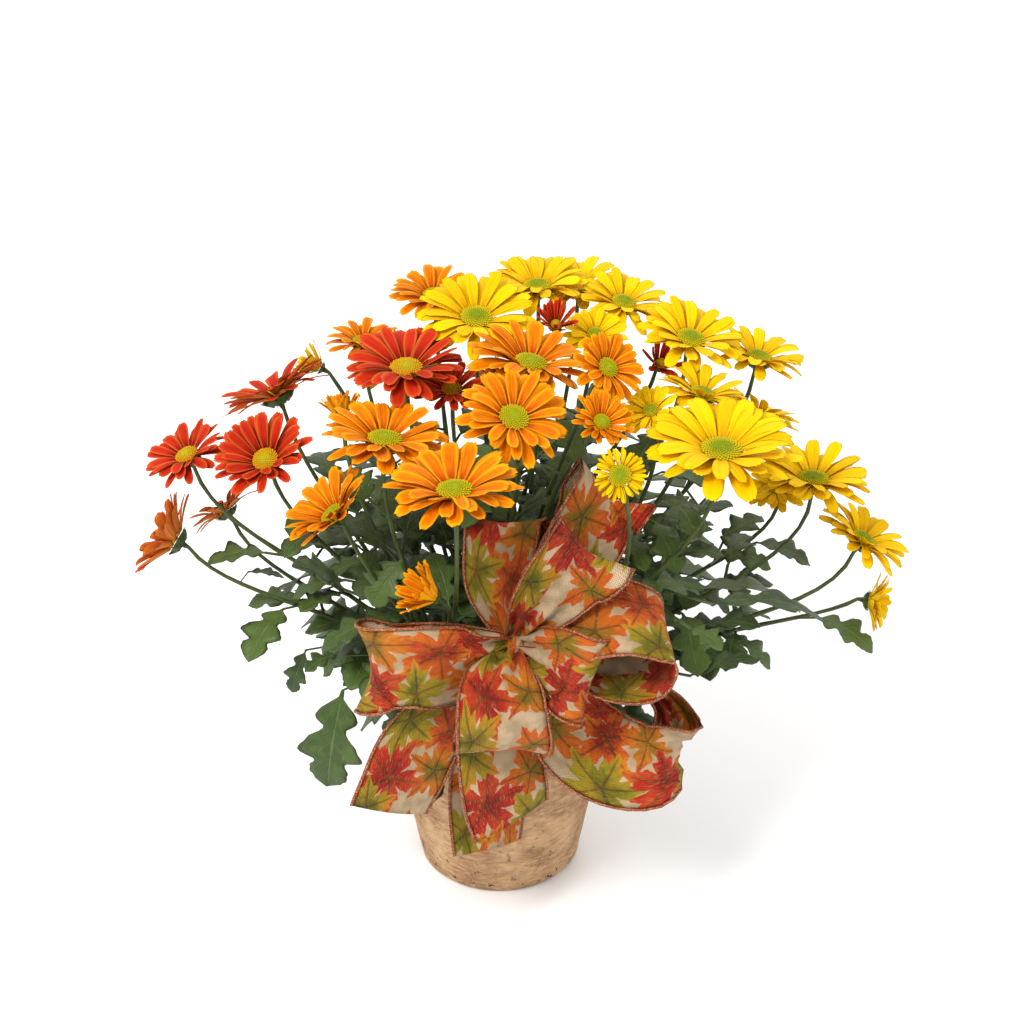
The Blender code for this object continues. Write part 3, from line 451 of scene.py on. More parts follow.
print("a guide tube has", len(sweep([(0, 0, 0), (0, 0, 9)], [1, 1], 5)[1]), "faces")

# %% Guide heads: petals in two layers round a disc
def petal_faces(root, far):
    """Faces from the four root corners over the four widest ones to the two of the tip."""
    r0, r1, r2, r3 = root
    m0, m1, m2, m3, t0, t1 = far
    return [
        (r0, r1, m1),
        (r0, m1, m0),
        (r1, r2, m2),
        (r1, m2, m1),
        (r2, r3, m2),
        (r3, m3, m2),
        (r3, r0, m0),
        (r3, m0, m3),
        (m0, m1, t1),
        (m0, t1, t0),
        (m2, m3, t1),
        (m3, t0, t1),
        (m1, m2, t1),
        (m3, m0, t0),
    ]


def head_mesh(bloom, rng):
    """The petals of one head in two layers round its domed disc."""
    disc = DISC_SHARE * bloom.radius
    count = bloom.petals
    upper_root, upper_tip, lower_root, lower_tip = FORMS[bloom.form]
    corners = []
    for column in range(count):
        turn = column * math.tau / count
        out = np.array([math.cos(turn), math.sin(turn), 0.0])
        for height in (-2 * DISC_HALF, -DISC_HALF, 0.0):
            corners.append(out * disc + np.array([0.0, 0.0, height]))
    dome = len(corners)
    corners.append(np.array([0.0, 0.0, DOME_HEIGHT]))
    corners.append(np.array([0.0, 0.0, -2 * DISC_HALF]))
    faces = []
    for column in range(count):
        here = 3 * column
        there = 3 * ((column + 1) % count)
        faces.append((here + 2, there + 2, dome))
        faces.append((there, here, dome + 1))
        upper = column % 2 == 0
        plain = 0 if upper else 1
        faces.append((here + plain, there + plain, there + plain + 1, here + plain + 1))
        low = 1 if upper else 0
        root = (here + low, there + low, there + low + 1, here + low + 1)
        rise = (upper_root if upper else lower_root) + rng.uniform(-2.0, 2.0)
        fall = (upper_tip if upper else lower_tip) + rng.uniform(-5.0, 5.0)
        spread = math.radians((lower_root + lower_tip) / 2)
        length = (bloom.radius - disc) / math.cos(spread)
        length *= rng.uniform(0.93, 1.03) if upper else rng.uniform(0.97, 1.07)
        twist = math.radians(rng.uniform(-7.0, 7.0))
        turn = (column + 0.5) * math.tau / count
        out = np.array([math.cos(turn), math.sin(turn), 0.0])
        across = np.array([-math.sin(turn), math.cos(turn), 0.0])
        top = np.array([0.0, 0.0, 1.0])
        first = out * math.cos(math.radians(rise)) + top * math.sin(math.radians(rise))
        second = out * math.cos(math.radians(fall)) + top * math.sin(math.radians(fall))
        start = np.mean([corners[index] for index in root], axis=0)
        middle = start + first * length * WIDEST_AT
        tip = middle + second * length * (1 - WIDEST_AT)
        half = 1.12 * math.pi * np.linalg.norm(middle[:2]) / count
        half = min(half, 0.24 * bloom.radius)
        normal = np.cross(first, across)
        wide = across * math.cos(twist) + normal * math.sin(twist)
        thick = normal * PETAL_THICKNESS / 2
        base = len(corners)
        corners += [
            middle - wide * half - thick,
            middle + wide * half - thick,
            middle + wide * half + thick,
            middle - wide * half + thick,
            tip - wide * half * 0.5,
            tip + wide * half * 0.5,
        ]
        faces += petal_faces(root, tuple(range(base, base + 6)))
    return np.array(corners), faces


def bloom_place(bloom):
    """The middle of the disc's rim, and the frame of the head."""
    rng = random.Random(SEED + sum(map(ord, bloom.name)) * 7)
    axis = facing(bloom.azimuth, bloom.elevation)
    seen = sight(bloom.across, bloom.down, bloom.depth)
    return seen - axis * 2.5, frame_of(axis, rng.uniform(0, math.tau)), rng


def placed_head(bloom):
    """The guide head turned to face its way and moved to its place."""
    middle, frame, rng = bloom_place(bloom)
    corners, faces = head_mesh(bloom, rng)
    return middle + corners @ frame, faces


print("the first head is at", np.round(bloom_place(BLOOMS[0])[0]))

# %% Guide stems: a curve from the crown in the soil to the neck under the head
def bezier(controls, places):
    """Four controls weighted by s cubed, 3sst, 3stt and t cubed, with s = 1 - t."""
    p0, p1, p2, p3 = controls
    t = np.asarray(places)[:, None]
    s = 1 - t
    return s**3 * p0 + 3 * s * s * t * p1 + 3 * s * t * t * p2 + t**3 * p3


def stem_points(controls):
    """The corners of the bent stem, from the crown to the neck."""
    return bezier(controls, (0.0, 0.3, 0.55, 0.78, 1.0))


def stem_point(controls, share):
    """The point at this share of the bent stem, straight between its corners."""
    points = stem_points(controls)
    place = min(share, 0.999) * (len(points) - 1)
    cell = int(place)
    return points[cell] + (points[cell + 1] - points[cell]) * (place - cell)


def stem_controls(bloom, plant, shift):
    """The curve from the crown to the neck under the head."""
    middle, frame, _ = bloom_place(bloom)
    axis = frame[2]
    cup = CUP_SHARE * bloom.radius
    neck = middle - axis * (2 * DISC_HALF + GAP + 0.42 * cup + NECK_LENGTH)
    foot = np.array([plant.x, plant.y, CROWN_HEIGHT - 6.0])
    reach = np.linalg.norm(neck - foot)
    up = np.array([0.0, 0.0, 1.0])
    first = foot + up * 0.36 * reach + unit(neck - foot) * 0.06 * reach + shift[0]
    second = neck - axis * 0.15 * reach - up * 0.14 * reach + shift[1]
    return foot, first, second, neck


def stem_mesh(bloom, controls, extra=0.0):
    """The stem with the green cup that carries the head."""
    middle, frame, _ = bloom_place(bloom)
    axis = frame[2]
    cup = CUP_SHARE * bloom.radius
    points = list(stem_points(controls))
    radii = list(np.linspace(STEM_FOOT_RADIUS, STEM_NECK_RADIUS, len(points)) + extra)
    seat = 2 * DISC_HALF + GAP
    for height, radius in ((-seat - 0.42 * cup, 0.74 * cup), (-seat, cup)):
        points.append(middle + axis * height)
        radii.append(radius)
    return sweep(points, radii, STEM_SIDES)


def shaft_mesh(controls, extra):
    """The bare stem without its head, a little thick, to try what it would cross."""
    points = stem_points(controls)
    return sweep(points, [STEM_FOOT_RADIUS + extra] * len(points), 5)


print("a stem bends at", len(stem_points(np.zeros((4, 3)))), "places")

# %% Guide leaves and guide ribbon
def leaf_mesh(foot, base, tip, half_width, hint, extra=0.0):
    """A lobed blade, thick along its midrib and sharp at its edge, on its petiole."""
    foot, base, tip = (np.asarray(point, float) for point in (foot, base, tip))
    along = unit(tip - base)
    side = unit(np.cross(along, hint))
    normal = np.cross(side, along)
    length = np.linalg.norm(tip - base)

    def middle(share):
        if share <= BLADE_FROM:
            return foot + (base - foot) * share / BLADE_FROM
        far = (share - BLADE_FROM) / (1 - BLADE_FROM)
        return base + (tip - base) * far + normal * 0.10 * length * math.sin(math.pi * far)

    petiole = PETIOLE_HALF + extra
    rib = MIDRIB_HALF + extra
    stations = [(0.0, petiole), (BLADE_FROM, petiole)]
    stations += [(share, half * half_width + extra) for share, half in LEAF_HALF]
    corners = []
    for share, half in stations:
        lift = 0.16 * half if half > 2 * petiole else 0.0
        corners.append(middle(share) + side * half + normal * lift)
        corners.append(middle(share) - side * half + normal * lift)
    tip_index = len(corners)
    corners.append(middle(1.0))
    top = len(corners)
    for share in (0.0, BLADE_FROM, LEAF_HALF[1][0], LEAF_HALF[3][0]):
        corners.append(middle(share) + normal * rib)
    under = len(corners)
    for share in (0.0, BLADE_FROM, LEAF_HALF[1][0], LEAF_HALF[3][0]):
        corners.append(middle(share) - normal * rib)
    faces = []
    for hand in (0, 1):
        edge = [2 * place + hand for place in range(7)] + [tip_index]
        for mid, flip in ((top, hand == 1), (under, hand == 0)):
            some = [
                (mid, mid + 1, edge[1]),
                (mid, edge[1], edge[0]),
                (mid + 1, edge[2], edge[1]),
                (mid + 1, mid + 2, edge[2]),
                (mid + 2, edge[3], edge[2]),
                (mid + 2, edge[4], edge[3]),
                (mid + 2, mid + 3, edge[4]),
                (mid + 3, edge[5], edge[4]),
                (mid + 3, edge[6], edge[5]),
                (mid + 3, edge[7], edge[6]),
            ]
            faces += [face[::-1] if flip else face for face in some]
    faces.append((0, top, 1))
    faces.append((0, 1, under))
    return np.array(corners), faces


def smooth_path(stations, count):
    """The middle, the way of the width and its size at count places along the ribbon."""
    keys = [np.append(sight(s.across, s.down, s.depth), [s.wx, s.wy, s.wz, s.width])
            for s in stations]
    keys = np.array(keys)
    pinched = keys[:, 6] < 0.2
    keys[pinched, :3] = sight(*KNOT) + 0.15 * (keys[pinched, :3] - sight(*KNOT))
    spans = np.linalg.norm(np.diff(keys[:, :3], axis=0), axis=1)
    places = np.concatenate([[0.0], np.cumsum(spans)]) / spans.sum()
    slopes = np.gradient(keys, places, axis=0)
    rows = []
    for place in np.linspace(0.0, 1.0, count):
        cell = min(np.searchsorted(places, place, side="right") - 1, len(places) - 2)
        span = places[cell + 1] - places[cell]
        t = (place - places[cell]) / span
        rows.append(
            (2 * t**3 - 3 * t**2 + 1) * keys[cell]
            + (t**3 - 2 * t**2 + t) * span * slopes[cell]
            + (3 * t**2 - 2 * t**3) * keys[cell + 1]
            + (t**3 - t**2) * span * slopes[cell + 1]
        )
    rows = np.array(rows)
    middles = rows[:, :3]
    tangents = np.gradient(middles, axis=0)
    tangents /= np.linalg.norm(tangents, axis=1)[:, None]
    wide = rows[:, 3:6]
    wide = wide - tangents * (wide * tangents).sum(axis=1)[:, None]
    wide /= np.linalg.norm(wide, axis=1)[:, None]
    return middles, wide, np.cross(tangents, wide), np.clip(rows[:, 6], 0.14, 1.0)


def ribbon_mesh(stations, count, thickness):
    """One length of the ribbon as a closed strip."""
    middles, wide, normals, shares = smooth_path(stations, count)
    half = wide * (shares * RIBBON_WIDTH / 2)[:, None]
    thick = normals * thickness / 2
    corners = np.stack(
        [middles - half - thick, middles + half - thick, middles + half + thick,
         middles - half + thick],
        axis=1,
    ).reshape(-1, 3)
    faces = [(3, 2, 1, 0)]
    for row in range(count - 1):
        here = 4 * row
        faces += [
            (here, here + 1, here + 5),
            (here, here + 5, here + 4),
            (here + 1, here + 2, here + 6),
            (here + 1, here + 6, here + 5),
            (here + 2, here + 3, here + 6),
            (here + 3, here + 7, here + 6),
            (here + 3, here, here + 4),
            (here + 3, here + 4, here + 7),
        ]
    last = 4 * (count - 1)
    faces.append((last, last + 1, last + 2, last + 3))
    return corners, faces


lengths = {
    name: np.linalg.norm(np.diff(smooth_path(stations, 60)[0], axis=0), axis=1).sum()
    for name, stations in RIBBON.items()
}
print("ribbon lengths, mm:", {name: round(float(length)) for name, length in lengths.items()})

# %% Guide pot, soil, knot, tie and pick
def pot_profile():
    """Radius and height round the pot's wall: up its outside, over the rim and down inside."""
    inner_rim = POT_RIM_RADIUS - POT_WALL
    inner_base = POT_BASE_RADIUS - POT_WALL + 1.0
    return [
        (0.0, 0.0),
        (POT_BASE_RADIUS - 3.0, 0.0),
        (POT_BASE_RADIUS, 3.0),
        (POT_RIM_RADIUS - 1.0, POT_HEIGHT - 1.5),
        (POT_RIM_RADIUS - 1.5, POT_HEIGHT),
        (inner_rim + 0.6, POT_HEIGHT),
        (inner_rim, POT_HEIGHT - 1.0),
        (inner_base, POT_FLOOR),
        (0.0, POT_FLOOR),
    ]


def inner_radius(height):
    """The pot's inner radius at this height, less a small gap: straight from base to rim."""
    share = (height - POT_FLOOR) / (POT_HEIGHT - 1.0 - POT_FLOOR)
    inner_rim = POT_RIM_RADIUS - POT_WALL
    inner_base = POT_BASE_RADIUS - POT_WALL + 1.0
    return inner_base + (inner_rim - inner_base) * share - GAP / math.cos(math.pi / POT_SIDES)


def soil_profile():
    """Radius and height of the soil: a plug in the pot with a low mound on top."""
    foot = POT_FLOOR + GAP
    return [
        (0.0, foot),
        (inner_radius(foot), foot),
        (inner_radius(SOIL_EDGE_HEIGHT), SOIL_EDGE_HEIGHT),
        (0.55 * inner_radius(SOIL_EDGE_HEIGHT), SOIL_MOUND_HEIGHT),
        (0.0, SOIL_MOUND_HEIGHT),
    ]


def pick_points():
    """The foot of the pick in the soil and its top, just under the tie."""
    drop = NECK_RADIUS + 2 * (TIE_WIRE_RADIUS + GAP)
    top = sight(*KNOT) + np.array([0.0, NECK_BEHIND, -drop - 0.2])
    return np.array(PICK_FOOT), top


def tie_mesh():
    """A ring of wire round the neck of the bow."""
    middle = sight(*KNOT) + np.array([0.0, NECK_BEHIND, 0.0])
    major = (NECK_RADIUS + GAP + TIE_WIRE_RADIUS) / math.cos(math.pi / 10)
    corners = []
    faces = []
    for step in range(10):
        turn = step * math.tau / 10
        out = np.array([math.cos(turn), 0.0, math.sin(turn)])
        for side in range(4):
            around = side * math.tau / 4
            reach = major + TIE_WIRE_RADIUS * math.cos(around)
            aside = np.array([0.0, TIE_WIRE_RADIUS * math.sin(around), 0.0])
            corners.append(middle + out * reach + aside)
            there = (step + 1) % 10 * 4
            beside = (side + 1) % 4
            faces.append((4 * step + side, there + side, there + beside, 4 * step + beside))
    return np.array(corners), faces


def crown_mesh(plant, extra=0.0):
    """The short woody stump that the stems of one plant grow from."""
    heights = (STUMP_FOOT_HEIGHT, CROWN_HEIGHT - 6.0, CROWN_HEIGHT + 4.0)
    points = [(plant.x, plant.y, height) for height in heights]
    radii = (STUMP_RADIUS * 0.8 + extra, STUMP_RADIUS + extra, STUMP_RADIUS * 0.7 + extra)
    return sweep(points, radii, 6, apex=1.0)


print("the pick is", round(float(np.linalg.norm(np.subtract(*pick_points())))), "mm long")

# %% [markdown]
# ## Growing the plant by rule
# Each stem starts as one plain curve. Where that crosses another plant's stem or a head, other
# curves are tried, a little further out each time, until one is clear. Leaves climb each stem by
# the golden angle, as they do in nature, and a leaf that finds no room isn't made. Everything is
# seeded, so each run grows the same plant.

# %% Choose the stems and the leaves
LOW_SIZE = 92.0
SIZE_LOSS = 46.0
LEAF_TRIALS = 18
LEAF_SHRINK = 0.97
LEAF_RISE = (10, 50)
LEAF_FALL = (25, 60)
ROOM = 0.7


def hides_bow(points):
    """Whether any of the points stands before the ribbon, where it is seen."""
    ahead, up = view_axes()
    way = np.asarray(points, float) - EYE
    far = way @ ahead
    across = VIEW_CENTRE + VIEW_FOCAL * way[:, 0] / far - BOW_SEEN[0]
    down = VIEW_CENTRE - VIEW_FOCAL * (way @ up) / far - BOW_SEEN[1]
    near = (across / BOW_SEEN[2]) ** 2 + (down / BOW_SEEN[3]) ** 2 < 1.0
    return bool(np.any(near & (np.asarray(points)[:, 1] < BOW_BACK)))


def choose_stem(bloom, plant, fixed, heads, shafts):
    """The first curve, from the plain one outwards, that crosses nothing of another plant."""
    rng = random.Random(SEED + sum(map(ord, bloom.name)) * 13)
    blocks = fixed + [tree for name, tree in heads.items() if name != bloom.name]
    blocks += [tree for name, tree in shafts if name != plant.name]
    for trial in range(160):
        size = 0.0 if trial == 0 else 8.0 + 0.45 * trial
        shift = [np.array([rng.uniform(-size, size) for _ in range(3)]) for _ in range(2)]
        controls = stem_controls(bloom, plant, shift)
        if not crosses(shaft_mesh(controls, 0.9), blocks):
            if not crosses(stem_mesh(bloom, controls, 0.3), blocks):
                return controls
    print("no clear way for the stem of", bloom.name)
    return stem_controls(bloom, plant, [np.zeros(3), np.zeros(3)])


def attach_point(stems, base, tip):
    """The stem point that a leaf with this base would spring from, behind its blade."""
    best = None
    along = unit(tip - base)
    for _, controls in stems:
        for share in np.linspace(0.1, 0.92, 24):
            point = stem_point(controls, share)
            away = base - point
            cost = np.linalg.norm(away) + 0.6 * max(0.0, 6.0 - away[2])
            cost += 2.0 * max(0.0, 0.4 * np.linalg.norm(away) - np.dot(away, along))
            if best is None or cost < best[0]:
                best = (cost, point)
    return best[1]


def placed_leaves(plant, stems, blocks):
    """The leaves of this plant that the picture shows, each moved back or forward to clear."""
    found = []
    for leaf in LEAVES:
        if leaf.plant != plant.name:
            continue
        base = sight(leaf.across, leaf.down, leaf.depth)
        tip = sight(leaf.tip_across, leaf.tip_down, leaf.tip_depth)
        foot = attach_point(stems, base, tip)
        for trial in range(9):
            push = np.array([0.0, 7.0 * ((trial + 1) // 2) * (-1) ** trial, 0.0])
            hint = facing(-90, 50) if abs(unit(tip - base)[2]) > 0.6 else (0.0, 0.0, 1.0)
            args = (foot, base + push * 0.6, tip + push, leaf.half_width, hint)
            if not crosses(leaf_mesh(*args, extra=ROOM), blocks):
                found.append(args)
                break
        else:
            print("no room for a placed leaf of", plant.name, leaf.across, leaf.down)
    return found


def turned_leaf(foot, size, turn, rng, rises, falls):
    """A leaf at this turn of the stem: its stalk rises at one angle and its blade bends down."""
    up = np.array([0.0, 0.0, 1.0])
    level = np.array([math.cos(turn), math.sin(turn), 0.0])
    rise = math.radians(rng.uniform(*rises))
    base = foot + size * PETIOLE_SHARE * (level * math.cos(rise) + up * math.sin(rise))
    fall = rise - math.radians(rng.uniform(*falls))
    tip = base + size * BLADE_SHARE * (level * math.cos(fall) + up * math.sin(fall))
    return foot, base, tip, size * LEAF_WIDTH_SHARE, up


def leaf_hides_bow(args):
    """Whether the blade's foot, middle or tip stands before the ribbon."""
    _, base, tip, _, _ = args
    return hides_bow([base, (base + tip) / 2, tip])


def rule_leaves(stems, blocks, rng):
    """Leaves up each stem by the golden angle, large below and small above."""
    found = []
    turn = rng.uniform(0, math.tau)
    for bloom, controls in stems:
        length = np.linalg.norm(np.diff(stem_points(controls), axis=0), axis=1).sum()
        steps = int(length / LEAF_SPACING + rng.uniform(0.0, 1.0))
        for step in range(steps):
            place = 0.16 + 0.66 * (step + rng.uniform(0.0, 0.8)) / max(steps, 1)
            size = LOW_SIZE - SIZE_LOSS * place + rng.uniform(-6, 6)
            foot = stem_point(controls, place)
            for trial in range(LEAF_TRIALS):
                turn += GOLDEN_TURN
                size *= LEAF_SHRINK
                args = turned_leaf(foot, size, turn, rng, LEAF_RISE, LEAF_FALL)
                if leaf_hides_bow(args):
                    continue
                if not crosses(leaf_mesh(*args, extra=ROOM), blocks):
                    found.append(args)
                    break
    return found


def lay_out():
    """Every mesh of the plant that others keep clear of, in one fixed order."""
    heads = {bloom.name: tree_of(placed_head(bloom)) for bloom in BLOOMS}
    ribbon = [ribbon_mesh(stations, len(stations) + 3, 2.4) for stations in RIBBON.values()]
    foot, top = pick_points()
    fixed = [tree_of(mesh) for mesh in ribbon]
    fixed.append(tree_of(sweep([foot, top], [PICK_RADIUS + 1.0] * 2, 6)))
    fixed.append(tree_of(tie_mesh()))
    fixed.append(tree_of(turned_mesh(pot_profile(), POT_SIDES)))
    shafts = []
    for plant in PLANTS:
        shafts.append((plant.name, tree_of(crown_mesh(plant, 0.6))))
    stems = {plant.name: [] for plant in PLANTS}
    by_name = {plant.name: plant for plant in PLANTS}
    for bloom in BLOOMS:
        controls = choose_stem(bloom, by_name[bloom.plant], fixed, heads, shafts)
        stems[bloom.plant].append((bloom, controls))
        shafts.append((bloom.plant, tree_of(stem_mesh(bloom, controls, 0.3))))
    soil = tree_of(turned_mesh(soil_profile(), POT_SIDES))
    leaves = {}
    trees = []

    def others(plant):
        """All that a leaf of this plant keeps clear of."""
        near = [tree for name, tree in trees + shafts if name != plant.name]
        return fixed + [soil] + list(heads.values()) + near

    for plant in PLANTS:
        leaves[plant.name] = placed_leaves(plant, stems[plant.name], others(plant))
        trees += [(plant.name, tree_of(leaf_mesh(*args))) for args in leaves[plant.name]]
    for plant in PLANTS:
        rng = random.Random(SEED + sum(map(ord, plant.name)))
        more = rule_leaves(stems[plant.name], others(plant), rng)
        leaves[plant.name] += more
        trees += [(plant.name, tree_of(leaf_mesh(*args))) for args in more]
    return stems, leaves


STEMS, LEAVES_BY_PLANT = lay_out()
print("leaves:", {name: len(some) for name, some in LEAVES_BY_PLANT.items()})

# %% [markdown]
# ## Young leaves in between
# Between the main leaves a chrysanthemum carries many younger ones, on short side shoots. They
# climb the same stems at a closer spacing, and each one that would touch a flower, the ribbon or
# another leaf is turned on by the golden angle and made a little smaller until it fits.


# %% Find room for the young leaves
def joined(meshes):
    """One guide from many: the corners one after the other, the faces counted on."""
    corners = np.concatenate([mesh[0] for mesh in meshes])
    starts = np.cumsum([0] + [len(mesh[0]) for mesh in meshes])
    faces = [tuple(int(start + corner) for corner in face)
             for start, mesh in zip(starts, meshes) for face in mesh[1]]
    return corners, faces


YOUNG_SPACING = 19.0
YOUNG_FROM = 0.06
YOUNG_UP_TO = 0.62
YOUNG_LOW_SIZE = 86.0
YOUNG_SIZE_LOSS = 46.0
YOUNG_TRIALS = 14
YOUNG_SHRINK = 0.95
YOUNG_RISE = (5, 60)
YOUNG_FALL = (20, 60)


def young_leaves(spacing):
    """Leaves up each stem, every spacing mm, each turned on and shrunk until nothing is met."""
    rng = random.Random(SEED + 5)
    still = [placed_head(bloom) for bloom in BLOOMS]
    still += [ribbon_mesh(stations, len(stations) + 3, 2.4) for stations in RIBBON.values()]
    still += [tie_mesh(), sweep(pick_points(), [PICK_RADIUS + 1.0] * 2, 6)]
    still += [turned_mesh(profile, POT_SIDES) for profile in (pot_profile(), soil_profile())]
    still += [leaf_mesh(*args) for some in LEAVES_BY_PLANT.values() for args in some]
    still = tree_of(joined(still))
    shafts = {name: tree_of(joined([stem_mesh(bloom, controls, 0.3) for bloom, controls in some]))
              for name, some in STEMS.items()}
    found = {plant.name: [] for plant in PLANTS}
    grown = []
    turn = 0.0
    for plant in PLANTS:
        others = [still] + [tree for name, tree in shafts.items() if name != plant.name]
        for bloom, controls in STEMS[plant.name]:
            length = np.linalg.norm(np.diff(stem_points(controls), axis=0), axis=1).sum()
            first = YOUNG_FROM + rng.uniform(0, 0.08)
            for place in np.arange(first, YOUNG_UP_TO, spacing / length):
                size = YOUNG_LOW_SIZE - YOUNG_SIZE_LOSS * place + rng.uniform(-8, 8)
                foot = stem_point(controls, place)
                for trial in range(YOUNG_TRIALS):
                    turn += GOLDEN_TURN
                    size *= YOUNG_SHRINK
                    args = turned_leaf(foot, size, turn, rng, YOUNG_RISE, YOUNG_FALL)
                    if leaf_hides_bow(args):
                        continue
                    shape = leaf_mesh(*args)
                    if not crosses(shape, others) and not crosses(shape, grown):
                        grown.append(tree_of(shape))
                        found[plant.name].append(args)
                        break
    return found


YOUNG_BY_PLANT = young_leaves(YOUNG_SPACING)
print("young leaves:", {name: len(some) for name, some in YOUNG_BY_PLANT.items()})

# %% [markdown]
# ## From arrays to a mesh
# Every surface below is worked out with numpy, as whole arrays of corners and faces. This helper
# puts them into one mesh. It also measures the signed volume: a shape whose faces point inwards
# has a negative volume, and then all faces are turned round.


# %% One helper that makes a piece
def signed_volume(corners, groups):
    """Six times the volume: for each fan triangle, the corner dotted with the others' cross."""
    total = 0.0
    for faces in groups:
        for step in range(1, faces.shape[1] - 1):
            a, b, c = corners[faces[:, 0]], corners[faces[:, step]], corners[faces[:, step + 1]]
            total += np.einsum("ij,ij->", a, np.cross(b, c))
    return total


def add_piece(name, corners, groups, materials, uv=None, tone=None, under=None, which=None):
    """One object at the origin from corners in mm and groups of faces of equal size."""
    corners = np.asarray(corners, float)
    groups = [np.asarray(faces) for faces in groups if len(faces)]
    if signed_volume(corners - corners.mean(axis=0), groups) < 0:
        groups = [faces[:, ::-1] for faces in groups]
    loops = np.concatenate([faces.ravel() for faces in groups])
    sizes = np.concatenate([np.full(len(faces), faces.shape[1]) for faces in groups])
    mesh = bpy.data.meshes.new(name)
    mesh.vertices.add(len(corners))
    mesh.vertices.foreach_set("co", (corners * MM).ravel())
    mesh.loops.add(len(loops))
    mesh.loops.foreach_set("vertex_index", loops)
    mesh.polygons.add(len(sizes))
    mesh.polygons.foreach_set("loop_start", np.concatenate([[0], np.cumsum(sizes)[:-1]]))
    mesh.polygons.foreach_set("loop_total", sizes)
    if which is not None:
        mesh.polygons.foreach_set("material_index", np.asarray(which, np.int32))
    mesh.update(calc_edges=True)
    if uv is not None:
        layer = mesh.uv_layers.new(name="UVMap")
        layer.data.foreach_set("uv", np.asarray(uv, float)[loops].ravel())
    for label, values in (("tone", tone), ("under", under)):
        if values is not None:
            kept = mesh.attributes.new(label, "FLOAT", "POINT")
            kept.data.foreach_set("value", np.asarray(values, float).ravel())
    mesh.shade_smooth()
    for material in materials:
        mesh.materials.append(material)
    piece = bpy.data.objects.new(name, mesh)
    bpy.context.scene.collection.objects.link(piece)
    return piece


def tube_faces(count, stations, around):
    """Quads of count closed tubes, and the two many-sided ends of each."""
    tube = np.arange(count)[:, None, None] * stations * around
    row = np.arange(stations - 1)[None, :, None] * around
    side = np.arange(around)[None, None, :]
    after = (side + 1) % around
    quads = np.stack(np.broadcast_arrays(tube + row + side, tube + row + after,
                                         tube + row + after + around,
                                         tube + row + side + around), axis=-1)
    start = np.arange(count)[:, None] * stations * around
    foot = start + np.arange(around)[None, ::-1]
    head = start + (stations - 1) * around + np.arange(around)[None, :]
    return quads.reshape(-1, 4), np.concatenate([foot, head])


def settle(piece, slot, *nodes):
    """The piece rides with the plant and stands for its nodes, which it hides; slot is not used."""
    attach(piece, "root")
    if nodes:
        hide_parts(*nodes)
    return piece


print("quads of a tube of 3 rings and 4 sides:", len(tube_faces(1, 3, 4)[0]))

# %% [markdown]
# ## Shader maths in plain words
# A material here is a formula on the surface. The small class below wraps a socket, so that
# `1 - mask` or `streaks * 0.3` adds the Math nodes by itself, which is much easier to read than
# lists of nodes and links. Colours never pass through it: they are mixed by Mix nodes.


# %% The helper classes for materials
class Value:
    """A number that varies over a surface, with Python's own operators."""

    def __init__(self, look, socket):
        self.look = look
        self.socket = socket

    def math(self, operation, *others):
        values = {place: value for place, value in enumerate((self, *others))}
        return self.look.node("ShaderNodeMath", {"operation": operation}, values).value()

    def __add__(self, other):
        return self.math("ADD", other)

    def __sub__(self, other):
        return self.math("SUBTRACT", other)

    def __rsub__(self, other):
        return Value.lift(self.look, other).math("SUBTRACT", self)

    def __mul__(self, other):
        return self.math("MULTIPLY", other)

    def __truediv__(self, other):
        return self.math("DIVIDE", other)

    def __pow__(self, other):
        return self.math("POWER", other)

    __radd__ = __add__
    __rmul__ = __mul__

    @staticmethod
    def lift(look, number):
        return look.node("ShaderNodeMath", {"operation": "ADD"}, {0: number, 1: 0.0}).value()

    def clear(self, low, high):
        """0 at low, 1 at high, and smooth between."""
        return self.look.node("ShaderNodeMapRange", {"interpolation_type": "SMOOTHSTEP"},
                              {0: self, 1: low, 2: high}).value()


class Node:
    """A node that was made, whose outputs are taken as a Value or as a plain socket."""

    def __init__(self, look, made):
        self.look = look
        self.made = made

    def value(self, name=0):
        return Value(self.look, self.made.outputs[name])

    def out(self, name=0):
        return self.made.outputs[name]


